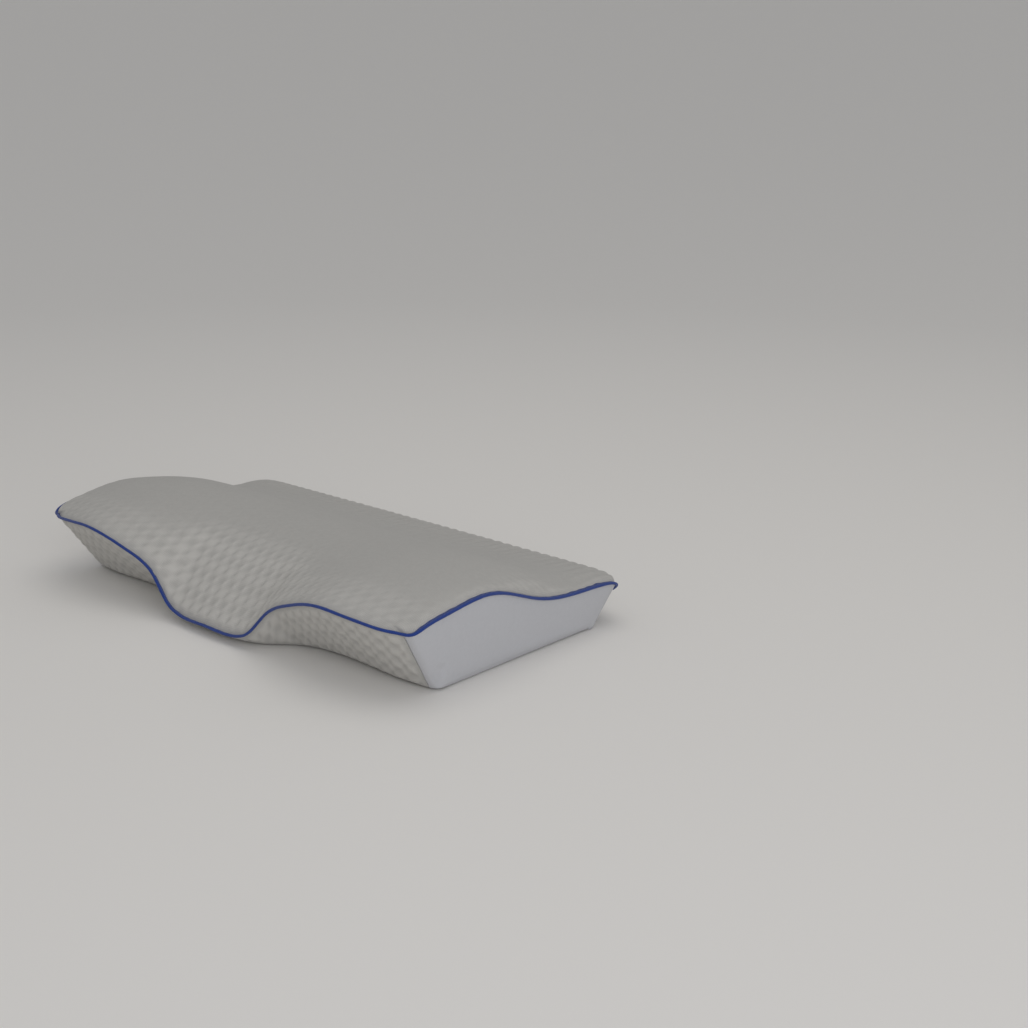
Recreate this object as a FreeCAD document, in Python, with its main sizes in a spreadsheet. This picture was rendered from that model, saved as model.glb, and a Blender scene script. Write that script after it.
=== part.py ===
"""Butterfly-shaped contour pillow: foam core, liner, zipped knit cover with piping.

X runs along the pillow, -Y is the side for neck and shoulders, +Z is up.
The origin is on the underside, at the middle of the overall box. Millimetres.
"""
import FreeCAD, Part
import math
import os

Vector = FreeCAD.Vector

# Driving dimensions: alias -> (value, what it is)
SIZES = {
    "length": (570.0, "overall length, piping to piping"),
    "depth": (340.0, "overall depth, piping to piping"),
    "height": (100.0, "height at the two humps"),
    "end_lean": (9.0, "degrees by which an end panel leans in towards its foot"),
    "back_lean": (52.0, "degrees by which the back band leans in towards its foot"),
    "back_seam_height": (29.0, "height of the piping along the back"),
    "crest_height": (53.0, "height of the low rear ridge"),
    "crest_setback": (22.0, "rear ridge, in from the back seam"),
    "tongue_half": (58.0, "half width of the front tongue at its lip"),
    "shoulder_run": (37.0, "length over which the lip climbs from tongue to wing"),
    "corner_run": (23.0, "end of a wing over which its front corner is rounded off"),
    "tongue_lip": (10.0, "height of the lip in the middle of the tongue"),
    "wing_lip": (77.0, "height of the lip on a wing"),
    "foot_inset": (63.0, "wing front foot, in from the foremost line"),
    "tongue_foot_inset": (20.0, "tongue foot, in from the foremost line"),
    "cover_wall": (2.5, "thickness of the bubble-knit cover"),
    "liner_wall": (1.0, "thickness of the jersey liner"),
    "layer_gap": (0.6, "room between two layers"),
    "zip_room": (3.0, "extra room inside the back band for the zip"),
    "piping_diameter": (3.0, "piping over its sleeve"),
    "piping_core": (1.8, "cord inside the piping"),
    "piping_gap": (0.5, "piping to the seam that it sits on"),
    "piping_join": (0.4, "room between the piping's two ends, at the middle of the back"),
    "sleeve_clear": (0.1, "cord to its sleeve, all round"),
    "sewn_gap": (0.2, "room between two pieces that are sewn face to face"),
    "seat_gap": (0.35, "care label to its band, and front band to the top panel"),
    "zip_margin": (45.0, "end of the zip's chain, in from the pillow's end"),
    "zip_window": (12.0, "width of the opening in which the zip lies"),
    "tape_width": (10.0, "width of one zip tape"),
    "tape_wall": (0.6, "thickness of a zip tape"),
    "tape_split": (1.4, "room between the two tapes for the slider's post"),
    "coil_width": (2.4, "width of one coil of the chain"),
    "coil_height": (2.0, "height of the chain above its tape"),
    "stop_length": (5.0, "length of an end stop of the zip"),
    "slider_length": (11.0, "length of the slider"),
    "slider_wall": (1.0, "thickness of the slider's plates and flanges"),
    "slider_clear": (0.3, "running clearance of the slider"),
    "post_width": (0.8, "width of the slider's post"),
    "post_length": (4.4, "length of the slider's post"),
    "arch_length": (6.0, "length of the arch that holds the pull"),
    "arch_width": (1.8, "width of that arch"),
    "arch_room": (1.7, "height of the hole under the arch"),
    "pin_diameter": (1.2, "pin of the pull, through the arch"),
    "pin_clear": (0.25, "clearance of the pull on the arch and the slider"),
    "pull_width": (7.0, "width of the pull"),
    "pull_length": (26.0, "length of the pull from its pin"),
    "notch_room": (1.0, "room behind the arch in the pull's notch"),
    "hole_diameter": (3.5, "hole at the pull's free end"),
    "hole_inset": (4.5, "middle of that hole, in from the free end"),
    "overcut": (1.0, "how far a cutting solid runs past what it cuts"),
    "label_inset": (125.0, "middle of the care label, in from the left end"),
    "label_length": (36.0, "length of the care label"),
    "label_width": (13.0, "width of the care label, out of the seam"),
    "label_tuck": (5.0, "edge of the care label, in from the back seam"),
    "label_wall": (0.5, "thickness of the folded care label"),
}

# Shape of the top and the front at eight stations, from the middle of the pillow to one end:
# lip and foot: behind the foremost line; slope and lip height: heights; others: drop below
# the full height, or the crest's drop below its own height
COLUMNS = ("lip_back", "lip_drop", "slope", "ridge", "hump", "middle", "dip", "crest_drop", "foot_back")
STATIONS = {
    "centre": (10.0, 67.0, 37.0, 31.0, 10.0, 18.0, 38.0, 0.0, 0.0),
    "tongue": (12.0, 63.0, 41.0, 28.0, 9.0, 18.0, 38.0, 0.0, 9.0),
    "shoulder": (14.0, 30.0, 64.0, 19.0, 7.0, 17.0, 38.0, 0.0, 35.0),
    "inner_wing": (7.0, 12.0, 79.0, 11.0, 4.0, 16.0, 38.0, 0.0, 43.0),
    "wing": (0.0, 0.0, 89.0, 5.0, 1.0, 15.0, 37.0, 0.0, 43.0),
    "outer_wing": (3.0, 2.0, 88.0, 5.0, 2.0, 16.0, 38.0, 0.0, 41.0),
    "corner": (10.0, 6.0, 82.0, 9.0, 7.0, 22.0, 42.0, 0.0, 43.0),
    "end": (19.0, 3.0, 79.0, 16.0, 17.0, 34.0, 47.0, 2.0, 52.0),
}
# The stations on a wing, as shares of its run from the shoulder to the front corner
WING_SHARES = {"inner_wing": 0.24, "wing": 0.50, "outer_wing": 0.775, "corner": 1.0}

# Where the points of the top lie, as shares of the way from the foremost line to the crest
TOP_SHARES = (0.115, 0.23, 0.395, 0.60, 0.80)
TOP_PARAMETERS = (0.0, 0.10, 0.21, 0.36, 0.54, 0.72, 0.88, 0.95, 1.0)
ROLL_PLACE = 0.22       # point between crest and back seam: share of the crest's setback
ROLL_HEIGHT = 0.62      # and share of the way up from the seam to the crest

SECTIONS = 18           # sections on each half, between the middle and the front corner
CORNER_SECTIONS = 3     # sections from there to the end: each leans more than the one before
END_STEPS = 20          # points of the piping's line over one end panel
BACK_STEPS = 16         # points of the piping's line on half of the straight back
CORNER_STAND = 1.8      # the line's corner points stand out further, as the arcs pass inside them
STRAIGHT_TURN = 1e-4    # half turn, in radians, under which two runs are one


def make_sheet(doc):
    sheet = doc.addObject("Spreadsheet::Sheet", "sizes")
    for row, (alias, (value, note)) in enumerate(SIZES.items(), start=1):
        sheet.set(f"A{row}", note)
        sheet.set(f"B{row}", str(value))
        sheet.setAlias(f"B{row}", alias)
    doc.recompute()
    return sheet


doc = FreeCAD.newDocument("pillow")
sheet = make_sheet(doc)


def size(alias):
    return float(sheet.get(alias))


# Pillow profile
def widest():
    """X of the end panel's outer face at the hump, where it stands out furthest."""
    return size("length") / 2 - size("piping_diameter")


def station_places():
    """Distance of each station from the middle of the pillow."""
    shoulder = size("tongue_half") + size("shoulder_run")
    wing = widest() - size("corner_run") - shoulder
    places = [0.0, size("tongue_half"), shoulder]
    places += [shoulder + wing * share for share in WING_SHARES.values()]
    return places + [widest()]


def hermite(start, stop, leave, arrive, share):
    """Cubic from start to stop that leaves and arrives with the given slopes."""
    rest = 1 - share
    ends = start * rest * rest * (1 + 2 * share) + stop * share * share * (1 + 2 * rest)
    return ends + leave * share * rest * rest - arrive * share * share * rest


def traits(along):
    """The table's columns at any distance from the middle, on a smooth curve between stations."""
    places, rows = station_places(), list(STATIONS.values())
    places = [-places[1]] + places
    rows = [rows[1]] + rows
    distance = abs(along)
    last = len(places) - 2
    index = max(i for i in range(1, last + 1) if places[i] <= distance or i == 1)
    run = places[index + 1] - places[index]
    share = (distance - places[index]) / run
    values = []
    for column in range(len(COLUMNS)):
        start, stop = rows[index][column], rows[index + 1][column]
        slopes = []
        for i in (index, index + 1):
            low, high = max(i - 1, 0), min(i + 1, len(places) - 1)
            slopes.append((rows[high][column] - rows[low][column]) / (places[high] - places[low]))
        values.append(hermite(start, stop, slopes[0] * run, slopes[1] * run, share))
    return dict(zip(COLUMNS, values))


def front_line():
    """Foremost line of the cover: the piping stands in front of it."""
    return -size("depth") / 2 + size("piping_diameter")


def back_line():
    return size("depth") / 2 - size("piping_diameter") - size("piping_gap")


def back_foot():
    return back_line() - size("back_seam_height") * math.tan(math.radians(size("back_lean")))


def end_along(height, inset):
    """X of the leaning end plane at a height, moved in by inset."""
    lean = math.radians(size("end_lean"))
    hump = size("height") - STATIONS["end"][COLUMNS.index("ridge")]
    return widest() - (hump - height) * math.tan(lean) - inset / math.cos(lean)


def outer_profile(along):
    """Points (y, z) of the cover's outer face: front foot, lip, top ..., back seam, back foot."""
    trait = traits(along)
    front = front_line()
    crest_y = back_line() - size("crest_setback")
    crest_z = size("crest_height") - trait["crest_drop"]
    top_z = [trait["slope"]]
    top_z += [size("height") - trait[name] for name in ("ridge", "hump", "middle", "dip")]
    lip = (front + trait["lip_back"], size("wing_lip") - trait["lip_drop"])
    top = [(front + share * (crest_y - front), z) for share, z in zip(TOP_SHARES, top_z)]
    roll = (back_line() - ROLL_PLACE * size("crest_setback"),
            (1 - ROLL_HEIGHT) * size("back_seam_height") + ROLL_HEIGHT * crest_z)
    foot = (front + size("tongue_foot_inset") + trait["foot_back"], 0.0)
    seam = (back_line(), size("back_seam_height"))
    return [foot, lip] + top + [(crest_y, crest_z), roll, seam, (back_foot(), 0.0)]


def inward(a, b):
    """Unit normal that points into the pillow, for a path that runs front to back."""
    dy, dz = b[0] - a[0], b[1] - a[1]
    run = math.hypot(dy, dz)
    return dz / run, -dy / run


def moved_corner(a, corner, b, first, second):
    """Corner of two lines a-corner and corner-b moved in by first and second."""
    n1, n2 = inward(a, corner), inward(corner, b)
    cross = n1[0] * n2[1] - n1[1] * n2[0]
    y = (first * n2[1] - second * n1[1]) / cross
    z = (second * n1[0] - first * n2[0]) / cross
    return corner[0] + y, corner[1] + z


def inset_profile(along, inset, back_extra=0.0):
    """The profile moved in by inset all round; the back band by back_extra more."""
    outer = outer_profile(along)
    back = inset + back_extra
    points = [on_floor(outer[0], outer[1], inset, inset)]
    points.append(moved_corner(outer[0], outer[1], outer[2], inset, inset))
    for index in range(2, len(outer) - 2):
        normal = inward(outer[index - 1], outer[index + 1])
        points.append((outer[index][0] + inset * normal[0], outer[index][1] + inset * normal[1]))
    points.append(moved_corner(outer[-3], outer[-2], outer[-1], inset, back))
    points.append(on_floor(outer[-1], outer[-2], -back, inset))
    return points


def on_floor(foot, upper, inset, height):
    """Foot of a leaning band, moved in by inset and cut off at a height."""
    dy, dz = upper[0] - foot[0], upper[1] - foot[1]
    run = math.hypot(dy, dz)
    return foot[0] + inset * run / dz + height * dy / dz, height


def place(along, inset, point):
    """A profile point in space. Past the front corner the sections turn into the leaning end."""
    corner = station_places()[-2]
    share = max(0.0, (abs(along) - corner) / (widest() - corner))
    distance = abs(along) + share * (end_along(point[1], inset) - widest())
    return Vector(math.copysign(distance, along), point[0], point[1])


def sections():
    """Distances of all sections, from the left end to the right end."""
    corner = station_places()[-2]
    half = [corner * step / SECTIONS for step in range(1, SECTIONS + 1)]
    run = (widest() - corner) / CORNER_SECTIONS
    half += [corner + run * step for step in range(1, CORNER_SECTIONS)] + [widest()]
    return [-along for along in reversed(half)] + [0.0] + half


def curve(points):
    spline = Part.BSplineCurve()
    spline.interpolate(Points=points, Parameters=list(TOP_PARAMETERS))
    return spline.toShape()


def section(points, curved):
    """Closed wire through groups of points: straight edges, or a curve where curved says so."""
    edges = []
    for group, is_curve in zip(points, curved):
        edges.append(curve(group) if is_curve else Part.makeLine(group[0], group[1]))
    return Part.Wire(edges)


def loft(wires, ruled=False):
    solid = Part.makeLoft(wires, True, ruled)
    if solid.Volume < 0:
        solid.reverse()
    return solid


def body_wire(along, inset, back_extra):
    points = [place(along, inset, p) for p in inset_profile(along, inset, back_extra)]
    top = points[1:-1]
    groups = [[points[0], points[1]], top, [points[-2], points[-1]], [points[-1], points[0]]]
    return section(groups, (False, True, False, False))


def body_solid(inset, back_extra=0.0):
    """Closed solid of the whole pillow, moved in by inset."""
    return loft([body_wire(along, inset, back_extra) for along in sections()])


# Core, liner and cover
def foam_core():
    inset = size("cover_wall") + size("liner_wall") + 2 * size("layer_gap")
    return body_solid(inset, size("zip_room"))


def inner_liner():
    outside = size("cover_wall") + size("layer_gap")
    shell = body_solid(outside, size("zip_room"))
    hollow = body_solid(outside + size("liner_wall"), size("zip_room"))
    return shell.cut(hollow)


def cover_top_panel():
    wall = size("cover_wall")
    wires = []
    for along in sections():
        outer = [place(along, wall, p) for p in outer_profile(along)[1:-1]]
        inner = [place(along, wall, p) for p in inset_profile(along, wall)[1:-1]]
        groups = [outer, [outer[-1], inner[-1]], inner, [inner[0], outer[0]]]
        wires.append(section(groups, (True, False, True, False)))
    return loft(wires)


def band_wire(along, corners):
    points = [place(along, size("cover_wall"), p) for p in corners]
    return Part.makePolygon(points + points[:1])


def toward(point, goal, step):
    """A point (y, z) moved towards a goal by a step."""
    dy, dz = goal[0] - point[0], goal[1] - point[1]
    share = step / math.hypot(dy, dz)
    return point[0] + dy * share, point[1] + dz * share


def front_band():
    wall = size("cover_wall")
    wires = []
    for along in sections():
        outer, inner = outer_profile(along), inset_profile(along, wall)
        foot = on_floor(outer[0], outer[1], 0.0, wall)
        edge = [toward(point, foot, size("seat_gap")) for point in (outer[1], inner[1])]
        wires.append(band_wire(along, (foot, edge[0], edge[1], inner[0])))
    return loft(wires)


def cover_bottom_panel():
    """Flat panel cut to the outline of the feet."""
    wall = size("cover_wall")
    feet = [place(along, 0.0, outer_profile(along)[0]) for along in sections()]
    spline = Part.BSplineCurve()
    spline.interpolate(Points=feet)
    left = Vector(feet[0].x, back_foot(), 0)
    right = Vector(feet[-1].x, back_foot(), 0)
    outline = [spline.toShape(), Part.makeLine(feet[-1], right), Part.makeLine(right, left)]
    outline.append(Part.makeLine(left, feet[0]))
    return Part.Face(Part.Wire(outline)).extrude(Vector(0, 0, wall))


def end_panel(side):
    """Smooth panel over one end, as thick as the cover, standing on the bottom panel."""
    wall = size("cover_wall")
    outer = outer_profile(widest())
    front_foot = on_floor(outer[0], outer[1], 0.0, wall)
    back = on_floor(outer[-1], outer[-2], 0.0, wall)
    profile = [front_foot] + outer[1:-1] + [back]
    points = [place(side * widest(), 0.0, p) for p in profile]
    groups = [[points[0], points[1]], points[1:-1], [points[-2], points[-1]],
              [points[-1], points[0]]]
    wire = section(groups, (False, True, False, False))
    run = wall / math.cos(math.radians(size("end_lean")))
    return Part.Face(wire).extrude(Vector(-side * run, 0, 0))


def back_point(down, depth):
    """Point (y, z) of the back band: down its slope from the middle, depth below its face."""
    lean = math.radians(size("back_lean"))
    middle_y = (back_line() + back_foot()) / 2
    middle_z = size("back_seam_height") / 2
    y = middle_y - down * math.sin(lean) - depth * math.cos(lean)
    return y, middle_z - down * math.cos(lean) + depth * math.sin(lean)


def back_strip(corners):
    wires = [band_wire(side * widest(), corners) for side in (-1, 1)]
    return loft(wires, ruled=True)


def back_band_upper():
    wall, half = size("cover_wall"), size("zip_window") / 2
    outer, inner = outer_profile(widest()), inset_profile(widest(), wall)
    return back_strip((outer[-2], inner[-2], back_point(-half, wall), back_point(-half, 0.0)))


def back_band_lower():
    wall, half = size("cover_wall"), size("zip_window") / 2
    outer = outer_profile(widest())
    foot = on_floor(outer[-1], outer[-2], 0.0, wall)
    inner_foot = on_floor(outer[-1], outer[-2], -wall, wall)
    return back_strip((back_point(half, 0.0), back_point(half, wall), inner_foot, foot))


def zip_end_patch(side):
    """Piece of band that closes the window between the zip and one end panel."""
    wall, half = size("cover_wall"), size("zip_window") / 2
    start = size("length") / 2 - size("zip_margin") + size("stop_length")
    corners = [back_point(v, w) for v, w in ((-half, 0.0), (half, 0.0), (half, wall), (-half, wall))]
    near = [Vector(side * start, y, z) for y, z in corners]
    far = [place(side * widest(), wall, p) for p in corners]
    wires = [Part.makePolygon(points + points[:1]) for points in (near, far)]
    return loft(wires, ruled=True)


# Piping
def unit(vector):
    return vector / vector.Length


def outward(before, corner, after):
    """Direction in which the piping stands off a seam of two panels."""
    n1, n2 = inward(before, corner), inward(corner, after)
    return Vector(0, -(n1[0] + n2[0]), -(n1[1] + n2[1]))


def seam_points():
    """Centre line of the piping once round, from the middle of the back."""
    stand = size("piping_diameter") / 2 + size("piping_gap")
    lean = math.radians(size("end_lean"))
    front = []
    for along in sections():
        outer = outer_profile(along)
        off = unit(outward(outer[0], outer[1], outer[2]))
        if abs(along) == widest():
            off = unit(off + Vector(math.copysign(math.cos(lean), along), 0, 0)) * CORNER_STAND
        front.append(place(along, 0.0, outer[1]) + off * stand)
    outer = outer_profile(widest())
    off = unit(outward(outer[-3], outer[-2], outer[-1]))
    corner = place(widest(), 0.0, outer[-2])
    right = end_seam_points(stand)
    right.append(corner + unit(off + Vector(math.cos(lean), 0, 0)) * CORNER_STAND * stand)
    half_back = []
    for step in range(BACK_STEPS - 1, 0, -1):
        along = corner.x * step / BACK_STEPS
        half_back.append(Vector(along, corner.y, corner.z) + off * stand)
    half = front[len(front) // 2:] + right + half_back
    middle = Vector(0, corner.y, corner.z) + off * stand
    mirrored = [Vector(-p.x, p.y, p.z) for p in reversed(half[1:])]
    return [middle] + mirrored + half


def end_seam_points(stand):
    """Points over the edge of the right end panel, front to back, without its two corners."""
    lean = math.radians(size("end_lean"))
    edge = Part.BSplineCurve()
    top = [place(widest(), 0.0, p) for p in outer_profile(widest())[1:-1]]
    edge.interpolate(Points=top, Parameters=list(TOP_PARAMETERS))
    points = []
    for step in range(1, END_STEPS):
        here = edge.value(step / END_STEPS)
        tangent = edge.tangent(step / END_STEPS)[0]
        off = unit(unit(Vector(0, -tangent.z, tangent.y)) + Vector(math.cos(lean), 0, 0))
        points.append(here + off * stand)
    return points


def rounded_path(points):
    """Open wire of straight runs joined by tangent arcs, near the given points."""
    edges = []
    last = points[0]
    for before, here, after in zip(points, points[1:], points[2:]):
        reach = 0.45 * min((here - before).Length, (after - here).Length)
        into, out = unit(here - before), unit(after - here)
        half_turn = into.getAngle(out) / 2
        if half_turn < STRAIGHT_TURN:
            continue
        start, stop = here - into * reach, here + out * reach
        sag = reach * math.tan(half_turn / 2)
        edges.append(Part.makeLine(last, start))
        edges.append(Part.Arc(start, here + unit(out - into) * sag, stop).toShape())
        last = stop
    edges.append(Part.makeLine(last, points[-1]))
    return Part.Wire(edges)


def piping_path():
    """The piping's line: its two ends meet at the middle of the back."""
    points = seam_points()
    ends_apart = Vector(size("piping_join") / 2, 0, 0)
    return rounded_path([points[0] - ends_apart] + points[1:] + [points[0] + ends_apart])


def tube(path, diameter):
    start = path.Edges[0].Vertexes[0].Point
    direction = path.Edges[0].Vertexes[1].Point - start
    ring = Part.Wire(Part.makeCircle(diameter / 2, start, direction))
    return path.makePipeShell([ring], True, False)


def piping_cord(path):
    return tube(path, size("piping_core"))


def piping_sleeve(path):
    bore = size("piping_core") + 2 * size("sleeve_clear")
    return tube(path, size("piping_diameter")).cut(tube(path, bore))


def add_feature(label, shape):
    feature = doc.addObject("Part::Feature", label)
    feature.Shape = shape
    feature.Label = label
    feature.Placement = FreeCAD.Placement()
    return feature


# Zip, on the back band. Its own frame: X along the zip, Y down the band's slope, Z out of the band's face
BAND_Y = ("sizes.depth / 2 - sizes.piping_diameter - sizes.piping_gap"
          " - sizes.back_seam_height / 2 * tan(sizes.back_lean * 1 deg)")
BAND_Z = "sizes.back_seam_height / 2"
TAPE_TOP = "-(sizes.cover_wall + sizes.sewn_gap)"
TAPE_UNDER = "-(sizes.cover_wall + sizes.sewn_gap + sizes.tape_wall)"
CHAIN_TOP = "-(sizes.cover_wall + sizes.sewn_gap - sizes.coil_height)"
CHAIN_EDGE = "(sizes.tape_split / 2 + sizes.coil_width)"
PLATE_UNDER = f"({CHAIN_TOP} + sizes.slider_clear)"
PLATE_TOP = f"({PLATE_UNDER} + sizes.slider_wall)"
ZIP_END = "(sizes.length / 2 - sizes.zip_margin)"
SLIDER_AT = f"({ZIP_END} - sizes.slider_length / 2 - sizes.slider_clear)"
PIN_Z = f"({PLATE_TOP} + sizes.pin_clear + sizes.pin_diameter / 2)"


def box(name, low, high):
    """Part::Box between two corners, each given as three expressions."""
    solid = doc.addObject("Part::Box", name)
    for side, axis, start, end in zip(("Length", "Width", "Height"), "xyz", low, high):
        solid.setExpression(f"Placement.Base.{axis}", start)
        solid.setExpression(side, f"({end}) - ({start})")
    return solid


def centred(name, middle, half_x, half_y, low_z, high_z):
    """Box about a place along the zip, the same each side of its middle line."""
    low = (f"{middle} - {half_x}", f"-{half_y}", low_z)
    high = (f"{middle} + {half_x}", half_y, high_z)
    return box(name, low, high)


def on_band(label, kind, solids):
    """Sub-part made of solids, turned and moved onto the back band."""
    part = doc.addObject(kind, label)
    if kind == "Part::Compound":
        part.Links = solids
    else:
        part.Shapes = solids
    part.Label = label
    part.Placement = FreeCAD.Placement(Vector(0, 0, 0), FreeCAD.Rotation(Vector(1, 0, 0), 90))
    part.setExpression("Placement.Base.y", BAND_Y)
    part.setExpression("Placement.Base.z", BAND_Z)
    part.setExpression("Placement.Rotation.Angle", "(270 - sizes.back_lean) * 1 deg")
    return part


def zip_tape(label, side):
    half = f"{ZIP_END} + 2 * sizes.stop_length"
    near, far = "sizes.tape_split / 2", "(sizes.tape_split / 2 + sizes.tape_width)"
    inner, outer = (near, far) if side > 0 else (f"-{far}", f"-{near}")
    solid = box(label + "_strip", (f"-({half})", inner, TAPE_UNDER), (half, outer, TAPE_TOP))
    return on_band(label, "Part::Compound", [solid])


def zip_coil(label, side):
    near, far = "sizes.tape_split / 2", CHAIN_EDGE
    inner, outer = (near, far) if side > 0 else (f"-{far}", f"-{near}")
    solid = box(label + "_rail", (f"-{ZIP_END}", inner, TAPE_TOP), (ZIP_END, outer, CHAIN_TOP))
    return on_band(label, "Part::Compound", [solid])


def zip_top_stops():
    """A clamp on each tape, past the closed end of the chain."""
    end = f"({ZIP_END} + sizes.stop_length)"
    near = "sizes.tape_split / 2"
    upper = box("stop_upper", (ZIP_END, f"-{CHAIN_EDGE}", TAPE_TOP), (end, f"-{near}", CHAIN_TOP))
    lower = box("stop_lower", (ZIP_END, near, TAPE_TOP), (end, CHAIN_EDGE, CHAIN_TOP))
    return on_band("zip_top_stops", "Part::Compound", [upper, lower])


def zip_bottom_stop():
    """One clamp across both tapes, at the open end of the chain."""
    low = (f"-({ZIP_END} + sizes.stop_length)", f"-{CHAIN_EDGE}", TAPE_TOP)
    high = (f"-{ZIP_END}", CHAIN_EDGE, CHAIN_TOP)
    return on_band("zip_bottom_stop", "Part::Compound", [box("stop_bar", low, high)])


def zip_slider():
    """Two plates round the chain, joined by a post between the tapes, with an arch on top."""
    channel = f"({CHAIN_EDGE} + sizes.slider_clear)"
    edge = f"({CHAIN_EDGE} + sizes.slider_clear + sizes.slider_wall)"
    half = "sizes.slider_length / 2"
    low_top = f"({TAPE_UNDER} - sizes.slider_clear)"
    arch_top = f"({PLATE_TOP} + sizes.arch_room)"
    flange_foot = f"{TAPE_TOP} + sizes.slider_clear"
    arch_half = "sizes.arch_width / 2"
    solids = [
        centred("top_plate", SLIDER_AT, half, edge, PLATE_UNDER, PLATE_TOP),
        centred("low_plate", SLIDER_AT, half, edge, f"{low_top} - sizes.slider_wall", low_top),
        centred("post", SLIDER_AT, "sizes.post_length / 2", "sizes.post_width / 2",
                low_top, PLATE_UNDER),
        centred("arch_bar", SLIDER_AT, "sizes.arch_length / 2", arch_half,
                arch_top, f"{arch_top} + sizes.slider_wall"),
    ]
    for name, inner, outer in (("upper", f"-{edge}", f"-{channel}"), ("lower", channel, edge)):
        solids.append(box(f"flange_{name}", (f"{SLIDER_AT} - {half}", inner, flange_foot),
                          (f"{SLIDER_AT} + {half}", outer, PLATE_UNDER)))
    for name, end in (("rear", "-"), ("front", "+")):
        foot = f"({SLIDER_AT} {end} (sizes.arch_length / 2 - sizes.slider_wall / 2))"
        solids.append(centred(f"arch_leg_{name}", foot, "sizes.slider_wall / 2", arch_half,
                              PLATE_TOP, arch_top))
    return on_band("zip_slider", "Part::MultiFuse", solids)


def zip_pull():
    """Flat pull with a pin through the arch; it lies towards the open end."""
    half = "sizes.pull_width / 2"
    low, high = f"{PIN_Z} - sizes.pin_diameter / 2", f"{PIN_Z} + sizes.pin_diameter / 2"
    free_end = f"{SLIDER_AT} - sizes.pull_length"
    plate = box("pull_plate", (free_end, f"-{half}", low), (SLIDER_AT, half, high))
    notch_half = "(sizes.arch_width / 2 + sizes.pin_clear)"
    notch_end = f"{SLIDER_AT} - sizes.arch_length / 2 - sizes.notch_room"
    notch = box("pull_notch", (notch_end, f"-{notch_half}", f"{low} - sizes.overcut"),
                (f"{SLIDER_AT} + sizes.overcut", notch_half, f"{high} + sizes.overcut"))
    hole = doc.addObject("Part::Cylinder", "pull_hole")
    hole.setExpression("Radius", "sizes.hole_diameter / 2")
    hole.setExpression("Height", "sizes.pin_diameter + 2 * sizes.overcut")
    hole.setExpression("Placement.Base.x", f"{free_end} + sizes.hole_inset")
    hole.setExpression("Placement.Base.z", f"{low} - sizes.overcut")
    cutters = doc.addObject("Part::MultiFuse", "pull_cutters")
    cutters.Shapes = [notch, hole]
    blade = doc.addObject("Part::Cut", "pull_blade")
    blade.Base, blade.Tool = plate, cutters
    pin = doc.addObject("Part::Cylinder", "pull_pin")
    pin.setExpression("Radius", "sizes.pin_diameter / 2")
    pin.setExpression("Height", "sizes.pull_width")
    pin.Placement.Rotation = FreeCAD.Rotation(Vector(1, 0, 0), 90)
    pin.setExpression("Placement.Base.x", SLIDER_AT)
    pin.setExpression("Placement.Base.y", half)
    pin.setExpression("Placement.Base.z", PIN_Z)
    return on_band("zip_pull", "Part::MultiFuse", [blade, pin])


def care_label():
    """Blank folded label that lies on the upper strip, below the back seam."""
    half_slope = "sizes.back_seam_height / (2 * cos(sizes.back_lean * 1 deg))"
    near = f"-({half_slope}) + sizes.label_tuck"
    start = "-(sizes.length / 2 - sizes.label_inset) - sizes.label_length / 2"
    low = (start, near, "sizes.seat_gap")
    high = (f"{start} + sizes.label_length", f"{near} + sizes.label_width",
            "sizes.seat_gap + sizes.label_wall")
    return on_band("care_label", "Part::Compound", [box("label_fold", low, high)])


path = piping_path()
parts = [
    add_feature("foam_core", foam_core()),
    add_feature("inner_liner", inner_liner()),
    add_feature("cover_top_panel", cover_top_panel()),
    add_feature("cover_bottom_panel", cover_bottom_panel()),
    add_feature("front_band", front_band()),
    add_feature("end_panel_left", end_panel(-1)),
    add_feature("end_panel_right", end_panel(1)),
    add_feature("back_band_upper", back_band_upper()),
    add_feature("back_band_lower", back_band_lower()),
    add_feature("zip_end_patch_left", zip_end_patch(-1)),
    add_feature("zip_end_patch_right", zip_end_patch(1)),
    add_feature("piping_cord", piping_cord(path)),
    add_feature("piping_sleeve", piping_sleeve(path)),
    zip_tape("zip_tape_upper", -1),
    zip_tape("zip_tape_lower", 1),
    zip_coil("zip_coil_upper", -1),
    zip_coil("zip_coil_lower", 1),
    zip_top_stops(),
    zip_bottom_stop(),
    zip_slider(),
    zip_pull(),
    care_label(),
]
doc.recompute()

failed = [item.Name for item in doc.Objects if {"Invalid", "Error"} & set(item.State)]
failed += [part.Label for part in parts if part.Shape.isNull() or not part.Shape.isValid()]
if failed:
    raise RuntimeError("failed: " + ", ".join(failed))

os.makedirs("parts", exist_ok=True)
for part in parts:
    part.Shape.exportStep(f"parts/{part.Label}.step")
    print(part.Label, len(part.Shape.Solids), "solids", round(part.Shape.Volume), "mm3")
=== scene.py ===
import math

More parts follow.
